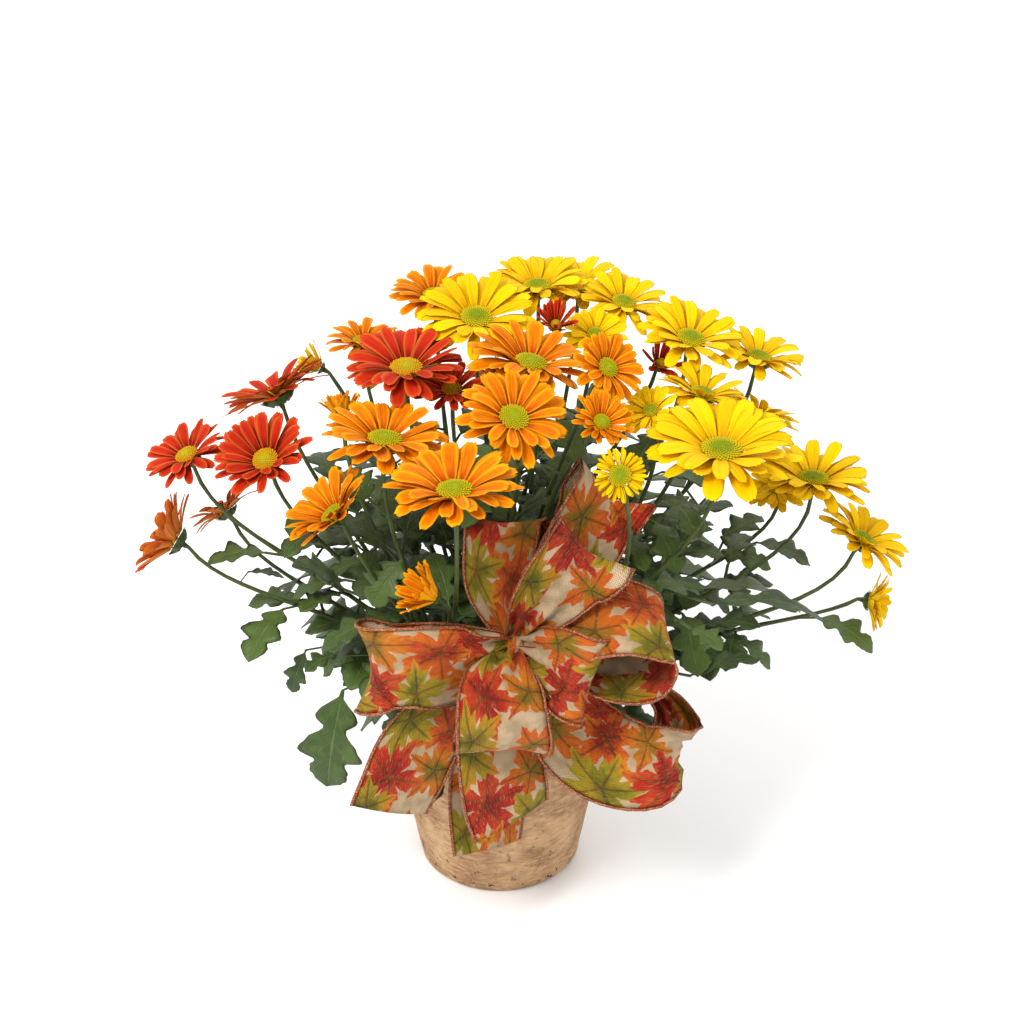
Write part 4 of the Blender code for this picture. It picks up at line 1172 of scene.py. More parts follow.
class Look:
    """One material: a Principled shader and the nodes that feed it."""

    def __init__(self, name, roughness=0.6, metallic=0.0, **more):
        self.material = bpy.data.materials.new(name)
        self.material.use_nodes = True
        self.tree = self.material.node_tree
        self.shader = self.tree.nodes["Principled BSDF"]
        self.set(self.shader, {"Roughness": roughness, "Metallic": metallic, **more})

    def set(self, made, inputs):
        for name, value in inputs.items():
            socket = made.inputs[name]
            if isinstance(value, Value):
                value = value.socket
            if isinstance(value, bpy.types.NodeSocket):
                self.tree.links.new(value, socket)
            else:
                socket.default_value = value

    def node(self, kind, settings=None, inputs=None):
        made = self.tree.nodes.new(kind)
        for name, value in (settings or {}).items():
            if name == "stops":
                ramp = made.color_ramp
                while len(ramp.elements) < len(value):
                    ramp.elements.new(0.5)
                for element, (place, colour) in zip(ramp.elements, value):
                    element.position = place
                    element.color = (*colour, 1.0)
            else:
                setattr(made, name, value)
        self.set(made, inputs or {})
        return Node(self, made)

    def coords(self):
        return self.node("ShaderNodeTexCoord").out("Object")

    def own(self, label):
        return self.node("ShaderNodeAttribute", {"attribute_name": label}).value("Fac")

    def uv(self):
        split = self.node("ShaderNodeSeparateXYZ", {}, {0: self.node("ShaderNodeUVMap").out()})
        return split.value("X"), split.value("Y")

    def point(self, x, y, z=0.0):
        return self.node("ShaderNodeCombineXYZ", {}, {0: x, 1: y, 2: z}).out()

    def stretched(self, x, y, z):
        return self.node("ShaderNodeMapping", {}, {"Vector": self.coords(), "Scale": (x, y, z)}).out()

    def noise(self, where, scale, detail=3.0, rough=0.5):
        return self.node("ShaderNodeTexNoise", {},
                         {"Vector": where, "Scale": scale, "Detail": detail,
                          "Roughness": rough}).value("Fac")

    def mix(self, share, first, second, blend="MIX"):
        """From the first colour to the second by share."""
        made = self.tree.nodes.new("ShaderNodeMix")
        made.data_type = "RGBA"
        made.blend_type = blend
        for place, value in ((0, share), (6, first), (7, second)):
            if isinstance(value, tuple) and len(value) == 3:
                value = (*value, 1.0)
            if isinstance(value, Value):
                value = value.socket
            if isinstance(value, bpy.types.NodeSocket):
                self.tree.links.new(value, made.inputs[place])
            else:
                made.inputs[place].default_value = value
        return made.outputs[2]

    def paint(self, colour):
        self.set(self.shader, {"Base Color": colour})

    def relief(self, height, depth, strength=0.6):
        bump = self.node("ShaderNodeBump", {}, {"Height": height, "Distance": depth,
                                                "Strength": strength})
        self.set(self.shader, {"Normal": bump.out()})


def screen(red, green, blue):
    """A colour as a screen shows it, 0 to 255, as the light that a shader works in."""
    share = np.array([red, green, blue]) / 255.0
    light = np.where(share <= 0.04045, share / 12.92, ((share + 0.055) / 1.055) ** 2.4)
    return tuple(float(part) for part in light)


print("a bright petal yellow in light:", np.round(screen(246, 208, 1), 3))

# %% [markdown]
# ## Petal materials
# A ray petal is brightest along its face and darker at its foot, partly its own deeper colour
# and partly painted shade near the disc. It is finely streaked from base to tip and shows three
# shallow grooves. Orange petals have light edges and reddish streaks, red ones a golden reverse.
# Each petal carries its own UV: u runs from base to tip and v from edge to edge, so streaks follow
# the petal however it curls. Its `tone` shifts each petal a little from its neighbours.


# %% Petals
def petal_look(name, base, face, edge, streak, reverse, streak_share):
    """Base to face colour along the petal, lighter at the edge, streaked by stretched noise."""
    look = Look(name, roughness=0.6)
    look.set(look.shader, {"Specular IOR Level": 0.06})
    along, across = look.uv()
    tone = look.own("tone")
    off_middle = (across - 0.5).math("ABSOLUTE") * 2.0
    lines = look.noise(look.point(across * 9.0, along * 1.3, tone * 31.0), 1.6, 3.0, 0.6)
    near = 1.0 - along.clear(0.15, 0.95)
    # Base to face colour: the darker base is partly the petal's own deeper colour and partly painted
    # shade near the disc.
    colour = look.mix(along.clear(0.0, 0.45), base, face)
    colour = look.mix(off_middle.clear(0.40, 0.95) * 0.8, colour, edge)
    colour = look.mix(along.clear(0.80, 1.0) * 0.6, colour, edge)
    colour = look.mix(lines.clear(0.44, 0.62) * (near * 0.7 + 0.3) * streak_share, colour, streak)
    colour = look.mix(look.own("under") * 0.85, colour, reverse)
    shade = look.mix(tone, (0.82, 0.74, 0.70), (1.0, 1.0, 1.0))
    look.paint(look.mix(1.0, colour, shade, "MULTIPLY"))
    grooves = (across * 18.85).math("COSINE") * 0.5 + lines * 0.5
    look.relief(grooves, 0.0005, 0.5)
    return look.material


PETALS = {
    "yellow": petal_look("petal_yellow", screen(206, 148, 0), screen(238, 194, 0),
                         screen(244, 206, 2), screen(214, 158, 0), screen(238, 192, 6), 0.6),
    "orange": petal_look("petal_orange", screen(168, 56, 0), screen(216, 118, 0),
                         screen(246, 172, 6), screen(180, 66, 0), screen(238, 164, 20), 0.85),
    "red": petal_look("petal_red", screen(104, 8, 2), screen(184, 42, 18),
                      screen(206, 74, 28), screen(120, 10, 4), screen(224, 132, 50), 0.7),
}
print("petal looks:", list(PETALS))

# %% [markdown]
# ## The disc and the green parts
# The disc is a mass of tiny florets: lime green and closed in the middle, golden and open at the
# rim. Stems are ribbed, with a brown tinge low down. A leaf is dull dark green with a paler net of
# veins above and a greyer underside.


# %% Disc, stem and leaf
def disc_look(name, middle, rim):
    """Middle to rim colour by each floret's own place, with fine pollen speckles."""
    look = Look(name, roughness=0.7)
    look.set(look.shader, {"Specular IOR Level": 0.16})
    tone = look.own("tone")
    speckle = look.noise(look.coords(), 900.0, 2.0)
    colour = look.mix(tone.clear(0.25, 0.9), middle, rim)
    look.paint(look.mix(speckle.clear(0.35, 0.7) * 0.3, colour, screen(140, 124, 2)))
    look.relief(speckle, 0.0004, 0.5)
    return look.material


DISCS = {
    "yellow": disc_look("disc_yellow", screen(118, 136, 8), screen(186, 168, 4)),
    "orange": disc_look("disc_orange", screen(140, 150, 4), screen(176, 158, 2)),
    "red": disc_look("disc_red", screen(172, 158, 8), screen(204, 140, 10)),
}


def stem_look():
    """Brown to green with height, with ribs as noise drawn out along the stem."""
    look = Look("green_stem", roughness=0.5)
    look.set(look.shader, {"Specular IOR Level": 0.25})
    split = look.node("ShaderNodeSeparateXYZ", {}, {0: look.coords()})
    height = split.value("Z")
    ribs = look.noise(look.stretched(1.0, 1.0, 0.06), 700.0, 2.0)
    mottle = look.noise(look.coords(), 55.0, 3.0)
    colour = look.mix(height.clear(0.10, 0.24), screen(70, 58, 36), screen(60, 74, 34))
    colour = look.mix(mottle.clear(0.4, 0.75), colour, screen(80, 92, 46))
    look.paint(look.mix(ribs.clear(0.45, 0.7) * 0.4, colour, screen(42, 52, 26)))
    look.relief(ribs, 0.0005, 0.6)
    return look.material


def leaf_look():
    """Mottled green. Side veins are a sine of the place along less the place across."""
    look = Look("green_leaf", roughness=0.48)
    look.set(look.shader, {"Specular IOR Level": 0.28})
    along, across = look.uv()
    tone = look.own("tone")
    off_middle = (across - 0.5).math("ABSOLUTE") * 2.0
    side_veins = ((along * 1.0 - off_middle * 0.16) * 37.0).math("SINE").math("ABSOLUTE")
    rib = 1.0 - off_middle.clear(0.0, 0.07)
    veins = (1.0 - side_veins.clear(0.0, 0.24)) * (1.0 - off_middle * 0.5)
    veins = veins.math("MAXIMUM", rib)
    mottle = look.noise(look.coords(), 120.0, 4.0)
    fine = look.noise(look.coords(), 900.0, 2.0)
    colour = look.mix(tone, screen(38, 56, 24), screen(70, 92, 34))
    colour = look.mix(mottle.clear(0.4, 0.75) * 0.5, colour, screen(84, 106, 46))
    colour = look.mix(veins * 0.40, colour, screen(116, 134, 74))
    look.paint(look.mix(look.own("under") * 0.7, colour, screen(94, 108, 74)))
    look.relief(fine * 0.35 + mottle * 0.4 - veins * 0.9, 0.0007, 0.7)
    return look.material


STEM_LOOK = stem_look()
LEAF_LOOK = leaf_look()
print("green looks:", STEM_LOOK.name, LEAF_LOOK.name)

# %% [markdown]
# ## A flower head
# A daisy head has strap-shaped ray petals in two or three layers. Each petal here is a flat tube:
# rings of corners run round its thin section from base to tip. The middle line of a petal climbs
# at one angle near the disc and bends over to another near the tip, so its height is the running
# sum of the sine of that angle. All petals of a head are worked out in one array.

# %% Petals of one head
PETAL_SHARE = {14: 37, 12: 33, 10: 29, 8: 23}
DETAIL = {"yellow_12": (38, 0.62, 1.5), "orange_06": (36, 0.80, 1.0)}
PETAL_T = np.array([-1.0, -0.62, -0.2, 0.2, 0.62, 1.0, 0.62, 0.2, -0.2, -0.62])
PETAL_UNDER = np.array([0.5, 0, 0, 0, 0, 0.5, 1, 1, 1, 1.0])
PETAL_KEYS = np.array([
    (0, 0.36), (0.2, 0.62), (0.45, 0.88), (0.68, 1.0), (0.86, 0.95), (0.96, 0.72), (1, 0.40),
])
PETAL_RINGS = 9
PETAL_LAYERS = 3
PETAL_ROOT = 0.9
PETAL_HALF_WIDTH = 0.122
PETAL_HALF_THICK = 0.32


def petal_arrays(bloom, seed):
    """Corners, UV, tone and underside of all the petals, in the head's own frame."""
    rng = np.random.RandomState(seed)
    count, slender, wide_disc = DETAIL.get(bloom.name, (PETAL_SHARE[bloom.petals], 1.0, 1.0))
    disc = DISC_SHARE * bloom.radius * wide_disc
    layer = np.arange(count) % PETAL_LAYERS / (PETAL_LAYERS - 1.0)
    turn = (np.arange(count) + rng.uniform(-0.35, 0.35, count)) * math.tau / count
    upper_root, upper_tip, lower_root, lower_tip = FORMS[bloom.form]
    rise = upper_root + (lower_root - upper_root) * layer + rng.uniform(-6, 8, count)
    fall = upper_tip + (lower_tip - upper_tip) * layer + rng.uniform(-15, 15, count)
    spread = math.radians((lower_root + lower_tip) / 2)
    length = (bloom.radius - PETAL_ROOT * disc) / math.cos(spread)
    length = length * (0.88 + 0.12 * layer) * rng.uniform(0.92, 1.07, count)
    s = np.linspace(0, 1, PETAL_RINGS) ** 0.9
    bend = np.clip((s - 0.25) / 0.7, 0, 1)
    angle = np.radians(rise[:, None] + (fall - rise)[:, None] * bend * bend * (3 - 2 * bend))
    step = np.diff(s, prepend=0.0)[None, :] * length[:, None]
    reach = PETAL_ROOT * disc + np.cumsum(np.cos(angle) * step, axis=1)
    height = -0.4 - 1.5 * layer[:, None] + np.cumsum(np.sin(angle) * step, axis=1)
    widest = PETAL_HALF_WIDTH * bloom.radius * slender * rng.uniform(0.84, 1.18, count)
    half = widest[:, None] * np.interp(s, PETAL_KEYS[:, 0], PETAL_KEYS[:, 1])[None, :]
    twist = np.radians(rng.uniform(-20, 20, count))[:, None] * s[None, :]
    sway = rng.uniform(-0.09, 0.09, count)[:, None] * length[:, None] * s[None, :] ** 2
    cup = rng.uniform(0.10, 0.55, count)[:, None] * (1 - 0.5 * s[None, :])
    t = PETAL_T[None, None, :]
    thick = np.where(PETAL_UNDER > 0.6, -1.0, np.where(PETAL_UNDER < 0.4, 1.0, 0.0))
    thick = thick[None, None, :] * PETAL_HALF_THICK * (1 - 0.5 * s)[None, :, None] * np.sqrt(1.02 - t * t)
    wide = half[:, :, None] * t
    lift = half[:, :, None] * cup[:, :, None] * t * t + thick
    aside = wide * np.cos(twist)[:, :, None] - lift * np.sin(twist)[:, :, None]
    above = wide * np.sin(twist)[:, :, None] + lift * np.cos(twist)[:, :, None]
    teeth = 0.03 * np.cos(math.tau * t) * np.clip(s * 9 - 8, 0, 1)[None, :, None]
    out = reach[:, :, None] + teeth * length[:, None, None] - above * np.sin(angle)[:, :, None]
    up = height[:, :, None] + above * np.cos(angle)[:, :, None]
    aside = aside + sway[:, :, None]
    ct, st = np.cos(turn)[:, None, None], np.sin(turn)[:, None, None]
    corners = np.stack([out * ct - aside * st, out * st + aside * ct, up], axis=-1)
    uv = np.stack(np.broadcast_arrays(s[None, :, None] + 0 * out, (t + 1) / 2 + 0 * out), axis=-1)
    tone = rng.uniform(0, 1, count)[:, None, None] + 0 * out
    under = PETAL_UNDER[None, None, :] + 0 * out
    return corners.reshape(-1, 3), uv.reshape(-1, 2), tone.ravel(), under.ravel(), count


print("corners of one head's petals:", len(petal_arrays(BLOOMS[0], 1)[0]))

# %% [markdown]
# ## The disc
# Florets sit at the golden angle from each other, at radii that grow as the square root of their
# number, which spreads them evenly over the dome. Each is a small five-sided bud: narrow and shut
# in the middle, wider and taller towards the rim.


# %% Florets on a dome
DOME_SIDES = 16
DOME_SHARES = (0.0, 0.35, 0.65, 0.88, 1.0, 1.0)
FLORET_SIDES = 5
FLORET_TURN = 2.399963
FLORET_ROWS = ((0.0, 0.8), (0.75, 1.0), (1.0, 0.55))


def disc_arrays(radius, height, seed):
    """The dome as a turned cap, then a five-sided bud for each floret."""
    rng = np.random.RandomState(seed)
    share = np.array(DOME_SHARES)
    levels = np.append(height * (1 - share[:-1] ** 2), -2.0)
    turns = np.arange(DOME_SIDES) * math.tau / DOME_SIDES
    ring = np.stack([np.cos(turns), np.sin(turns)], axis=-1)
    share[0] = 0.02
    dome = np.concatenate([share[::-1, None, None] * radius * ring[None], levels[::-1, None, None]
                           + np.zeros((len(share), DOME_SIDES, 1))], axis=-1).reshape(-1, 3)
    quads, ends = tube_faces(1, len(share), DOME_SIDES)
    count = int(80 + 9.0 * radius)
    number = np.arange(count) + 0.5
    far = np.sqrt(number / count) * 0.97
    angle = number * FLORET_TURN
    base = np.stack([far * radius * np.cos(angle), far * radius * np.sin(angle),
                     height * (1 - far ** 2) - 0.5], axis=-1)
    size = radius * 0.98 / math.sqrt(count) * (0.72 + 0.5 * far)
    tall = (0.7 + 0.8 * far + rng.uniform(-0.2, 0.2, count)) * (0.5 + 0.04 * radius)
    lean = np.stack([0.5 * far * np.cos(angle), 0.5 * far * np.sin(angle), np.ones(count)], axis=-1)
    fives = np.arange(FLORET_SIDES) * math.tau / FLORET_SIDES
    across = np.stack([np.cos(fives), np.sin(fives), 0 * fives], axis=-1)
    rows = []
    for lifted, wide in FLORET_ROWS:
        middle = base + lean * (tall * lifted)[:, None]
        rows.append(middle[:, None, :] + across[None] * (size * wide)[:, None, None])
    buds = np.stack(rows, axis=1).reshape(-1, 3)
    bud_quads, bud_ends = tube_faces(count, len(FLORET_ROWS), FLORET_SIDES)
    corners = np.concatenate([dome, buds])
    tone = np.concatenate([np.repeat(share[::-1], DOME_SIDES),
                           np.repeat(far, len(FLORET_ROWS) * FLORET_SIDES)])
    return corners, [quads, ends, bud_quads + len(dome), bud_ends + len(dome)], tone


print("corners of a disc:", len(disc_arrays(10.0, 3.0, 1)[0]))

# %% Make the heads
for number, bloom in enumerate(BLOOMS):
    middle, axes, _ = bloom_place(bloom)
    petals, uv, tone, under, count = petal_arrays(bloom, SEED + number)
    quads, ends = tube_faces(count, PETAL_RINGS, len(PETAL_T))
    share = 0.9 if bloom.form == "half" else DETAIL.get(bloom.name, (0, 0, 1.0))[2]
    florets, floret_faces, rim = disc_arrays(DISC_SHARE * bloom.radius * share, DOME_HEIGHT, number)
    colour = bloom.name.split("_")[0]
    groups = [quads, ends] + [faces + len(petals) for faces in floret_faces]
    which = np.repeat([0, 0, 1, 1, 1, 1], [len(faces) for faces in groups])
    head = add_piece(
        "head_" + bloom.name,
        middle + np.concatenate([petals, florets]) @ axes,
        groups,
        [PETALS[colour], DISCS[colour]],
        np.concatenate([uv, np.zeros((len(florets), 2))]),
        np.concatenate([tone, rim]),
        np.concatenate([under, np.zeros(len(florets))]),
        which,
    )
    settle(head, "petal_" + colour, "bloom_" + bloom.name)
print("heads made:", len(BLOOMS))

# %% [markdown]
# ## Stems, cups and leaves
# A stem is a ribbed tube along its curve that swells into the green cup under the head. Small
# pointed scales overlap on the cup. A leaf is a thin closed blade: rows of corners run across it
# from foot to tip, and the half width of each row follows a table of lobes and notches. The rows
# lean forward towards their edge, so the lobes point to the tip as they do on the real leaf.


# %% Tubes along a curve
STEM_RINGS = 18
STEM_AROUND = 8
SLIMMER = 0.84
NODES_ON_STEM = 7
CUP_SWELL = np.array([0.0, 0.25, 0.5, 0.75, 1.0])
CUP_SCALES = 18
SCALE_RINGS = np.array([0.0, 0.55, 1.0])
SCALE_T = np.array([-1.0, 0.0, 1.0, 0.0])


def tube_arrays(path, radii, around):
    """Rings square to the path, each turned so that its first corner faces the same way."""
    tangents = np.gradient(path, axis=0)
    tangents /= np.linalg.norm(tangents, axis=1)[:, None]
    first = np.cross(tangents, [0.0, 1.0, 0.0])
    first /= np.linalg.norm(first, axis=1)[:, None]
    second = np.cross(tangents, first)
    turns = np.arange(around) * math.tau / around
    ring = first[:, None] * np.cos(turns)[None, :, None] + second[:, None] * np.sin(turns)[None, :, None]
    return (path[:, None] + ring * np.asarray(radii)[:, None, None]).reshape(-1, 3)


def stem_arrays(bloom, controls):
    """A bent stem, then the cup: its radius swells as a quarter circle under the head."""
    middle, axes, _ = bloom_place(bloom)
    cup = CUP_SHARE * bloom.radius
    seat = 2 * DISC_HALF + GAP
    places = np.linspace(0.0, 1.0, STEM_RINGS)
    curve = bezier(controls, places)
    heights = -seat - 0.52 * cup * (1 - CUP_SWELL)
    neck = STEM_NECK_RADIUS + 0.6
    radii = np.concatenate([
        SLIMMER * np.linspace(STEM_FOOT_RADIUS, STEM_NECK_RADIUS, STEM_RINGS),
        neck + (cup - neck) * np.sqrt(1 - (1 - CUP_SWELL) ** 2),
    ])
    radii[:STEM_RINGS] += 0.35 * np.exp(-((places * NODES_ON_STEM % 1 - 0.5) / 0.12) ** 2)
    top = middle + axes[2] * heights[:, None]
    return tube_arrays(np.concatenate([curve, top]), radii, STEM_AROUND)


def scale_arrays(bloom, seed):
    """Pointed scales in two rows on the cup, as thin three-ring blades."""
    rng = np.random.RandomState(seed)
    middle, axes, _ = bloom_place(bloom)
    cup = CUP_SHARE * bloom.radius
    number = np.arange(CUP_SCALES)
    turn = (number + rng.uniform(-0.2, 0.2, CUP_SCALES)) * math.tau * 2 / CUP_SCALES
    outer = (number % 2)[:, None]
    s = SCALE_RINGS[None, :]
    out = cup * (0.45 + 0.62 * s ** 0.7) + 0.25 + 0.3 * outer
    up = -2 * DISC_HALF - 0.5 * cup * (1 - s) ** 1.3 - 0.6 * outer + 0.2
    half = cup * 0.17 * np.array([0.8, 1.0, 0.15])[None, :]
    thick = np.array([0.0, 0.35, 0.0, -0.25])
    away = out[:, :, None] + thick
    aside = half[:, :, None] * SCALE_T + 0 * away
    ct, st = np.cos(turn)[:, None, None], np.sin(turn)[:, None, None]
    corners = np.stack([away * ct - aside * st, away * st + aside * ct, up[:, :, None] + 0 * away],
                       axis=-1)
    return middle + corners.reshape(-1, 3) @ axes


print("corners of a stem:", len(stem_arrays(BLOOMS[0], STEMS["yellow_back"][0][1])))

# %% The blade of a leaf
BLADE_KEYS = np.array([
    (0.26, 0.05), (0.30, 0.09), (0.335, 0.34), (0.365, 0.55), (0.40, 0.64), (0.43, 0.58),
    (0.452, 0.38), (0.47, 0.32), (0.50, 0.46), (0.54, 0.74), (0.58, 0.84), (0.61, 0.98),
    (0.645, 1.0), (0.67, 0.84), (0.692, 0.54), (0.71, 0.44), (0.74, 0.50), (0.77, 0.62),
    (0.80, 0.58), (0.83, 0.60), (0.865, 0.58), (0.885, 0.46), (0.92, 0.42), (0.95, 0.28),
    (0.98, 0.14), (1.0, 0.03),
])
ACROSS = (-0.72, -0.4, -0.1, 0.1, 0.4, 0.72)
YOUNG_ACROSS = (-0.5, 0.0, 0.5)
STALK_ROWS = 3
STALK_UP_TO = 0.275


def blade_grid(rows, across):
    """Shares along the leaf, and places and sides round its thin section."""
    stalk = np.linspace(0, BLADE_FROM, STALK_ROWS + 1)[:-1]
    shares = np.concatenate([stalk, np.linspace(BLADE_FROM, 1.0, rows)])
    ring = np.array([-1.0, *across, 1.0, *across[::-1]])
    below = np.array([0.5, *[0.0] * len(across), 0.5, *[1.0] * len(across)])
    return shares, ring, below


LEAF_GRID = blade_grid(38, ACROSS)
YOUNG_GRID = blade_grid(24, YOUNG_ACROSS)


def leaf_arrays(foot, base, tip, half_width, hint, seed, grid):
    """Rows across the blade, leaning forward to the edge, with its edges lifted and waved."""
    rng = np.random.RandomState(seed)
    shares, ring, below = grid
    foot, base, tip = (np.asarray(point, float) for point in (foot, base, tip))
    along = unit(tip - base)
    side = unit(np.cross(along, hint))
    normal = np.cross(side, along)
    length = np.linalg.norm(tip - base)
    s = shares[:, None]
    t = ring[None, :]
    lean = 0.055 * np.abs(t) * np.sin(math.pi * np.clip((s - 0.26) / 0.74, 0, 1))
    where = s + lean
    far = np.clip((where - BLADE_FROM) / (1 - BLADE_FROM), 0, None)
    early = np.clip(s / BLADE_FROM, 0, 1)[:, :, None]
    middle = foot + (base - foot) * early + (tip - base) * far[:, :, None]
    arch = 0.10 * length * np.sin(math.pi * np.clip(far, 0, 1))
    half = np.interp(shares, BLADE_KEYS[:, 0], BLADE_KEYS[:, 1])[:, None] * half_width
    half = np.where(s < STALK_UP_TO, PETIOLE_HALF + 0 * half, half)
    phase = rng.uniform(0, 6.28, 2)
    wave = 0.05 * half_width * np.sin(where * 21 + phase[0] + np.sign(t) * phase[1]) * t * t
    lift = arch + 0.15 * half * np.abs(t) + wave * (s > 0.28)
    round_off = np.sqrt(1.001 - t * t)
    thick = np.where(s < STALK_UP_TO, 1.0, 0.42 + 0.5 * np.exp(-(t / 0.12) ** 2) * (1 - 0.6 * s))
    above = 1.0 - 2.0 * below[None, :]
    lift = lift + above * thick * round_off
    corners = middle + side * (half * t)[:, :, None] + normal * lift[:, :, None]
    uv = np.stack(np.broadcast_arrays(s + 0 * t, (t + 1) / 2 + 0 * s), axis=-1)
    under = below[None, :] + 0 * s
    tone = rng.uniform(0, 1) + 0 * under
    return corners.reshape(-1, 3), uv.reshape(-1, 2), tone.ravel(), under.ravel()


print("rows of corners in a leaf:", len(LEAF_GRID[0]))


# %% Make the stems and leaves of each plant
Block = namedtuple("Block", "corners groups finish uv tone under")
CROWN_HEIGHTS = np.array([STUMP_FOOT_HEIGHT, 100.0, 112.0, CROWN_HEIGHT, CROWN_HEIGHT + 5.0])
CROWN_RADII = STUMP_RADIUS * np.array([0.8, 0.9, 1.0, 1.0, 0.6])
CROWN_AROUND = 10


def nearest_on(curves, point):
    """The point of the curves that is closest to the given point."""
    cloud = np.concatenate(curves)
    return cloud[np.argmin(np.linalg.norm(cloud - point, axis=1))]


def stem_block(corners, faces):
    """A part in the stem's finish: it needs no UV, and its tone is even."""
    return Block(corners, faces, 0, np.zeros((len(corners), 2)), 0.5, 0.0)


for order, plant in enumerate(PLANTS):
    blocks = []
    curves = [bezier(controls, np.linspace(0, 1, 80)) for _, controls in STEMS[plant.name]]
    for number, (bloom, controls) in enumerate(STEMS[plant.name]):
        blocks.append(stem_block(stem_arrays(bloom, controls),
                                 tube_faces(1, STEM_RINGS + len(CUP_SWELL), STEM_AROUND)))
        blocks.append(stem_block(scale_arrays(bloom, 5 * number),
                                 tube_faces(CUP_SCALES, len(SCALE_RINGS), len(SCALE_T))))
    upright = 0 * CROWN_HEIGHTS
    stump = np.stack([plant.x + upright, plant.y + upright, CROWN_HEIGHTS], axis=-1)
    blocks.append(stem_block(tube_arrays(stump, CROWN_RADII, CROWN_AROUND),
                             tube_faces(1, len(CROWN_HEIGHTS), CROWN_AROUND)))
    both = [(args, LEAF_GRID) for args in LEAVES_BY_PLANT[plant.name]]
    both += [(args, YOUNG_GRID) for args in YOUNG_BY_PLANT[plant.name]]
    for number, ((foot, base, tip, half_width, hint), grid) in enumerate(both):
        foot = nearest_on(curves, np.asarray(foot))
        corners, uv, tone, under = leaf_arrays(foot, base, tip, half_width, hint,
                                               100 * order + number, grid)
        faces = tube_faces(1, len(grid[0]), len(grid[1]))
        blocks.append(Block(corners, faces, 1, uv, tone, under))
    starts = np.cumsum([0] + [len(block.corners) for block in blocks])
    groups = [faces + start for block, start in zip(blocks, starts) for faces in block.groups]
    which = np.concatenate([np.full(sum(map(len, block.groups)), block.finish)
                            for block in blocks])
    plant_piece = add_piece(
        "stems_" + plant.name,
        np.concatenate([block.corners for block in blocks]),
        groups,
        [STEM_LOOK, LEAF_LOOK],
        np.concatenate([block.uv for block in blocks]),
        np.concatenate([block.tone + np.zeros(len(block.corners)) for block in blocks]),
        np.concatenate([block.under + np.zeros(len(block.corners)) for block in blocks]),
        which,
    )
    settle(plant_piece, "green_stem", "leafy_stem_" + plant.name)
print("plants made:", len(PLANTS))

# %% [markdown]
# ## The printed ribbon
# The ribbon is a coarse cream weave printed all over with autumn leaves in red, orange and olive,
# and a coppery wired thread runs along each edge. The print is worked out, not painted: in polar
# coordinates round its own middle, a leaf is where the radius stays under an edge that falls from
# a lobe's tip to the notch beside it, with small teeth added. Eleven such leaves are laid out on a
# repeat of 190 mm, which wraps round so that no seam shows. Each is washed from a core colour
# through an ink to a rim colour. UV is in metres along and across the ribbon.

# %% Ribbon print and weave
REPEAT = 0.190
LOBES = 5.0
TEETH = 15.0
THREADS_PER_METRE = 4600.0
Printed = namedtuple("Printed", "start aside turn size core ink rim")
PRINTED = (
    Printed(0.010, 0.020, 2.2, 0.0290, (128, 104, 14), (206, 92, 16), (196, 58, 18)),
    Printed(0.022, -0.016, 0.4, 0.0340, (138, 14, 14), (176, 26, 18), (198, 52, 22)),
    Printed(0.048, 0.016, 3.5, 0.0310, (84, 92, 10), (140, 132, 18), (176, 150, 26)),
    Printed(0.056, -0.022, 5.0, 0.0270, (150, 60, 10), (204, 96, 16), (216, 128, 24)),
    Printed(0.080, -0.012, 1.4, 0.0330, (120, 100, 12), (206, 96, 12), (190, 52, 16)),
    Printed(0.088, 0.024, 0.2, 0.0260, (150, 18, 14), (186, 34, 18), (200, 60, 24)),
    Printed(0.112, 0.012, -0.7, 0.0320, (148, 36, 12), (204, 84, 14), (222, 140, 28)),
    Printed(0.122, -0.021, 2.7, 0.0300, (92, 96, 12), (150, 136, 20), (196, 146, 28)),
    Printed(0.146, 0.019, 1.9, 0.0300, (112, 96, 14), (204, 112, 16), (188, 50, 16)),
    Printed(0.156, -0.014, 4.1, 0.0320, (142, 18, 14), (184, 34, 18), (206, 84, 22)),
    Printed(0.178, -0.022, 0.9, 0.0260, (90, 92, 12), (156, 132, 20), (208, 120, 24)),
)


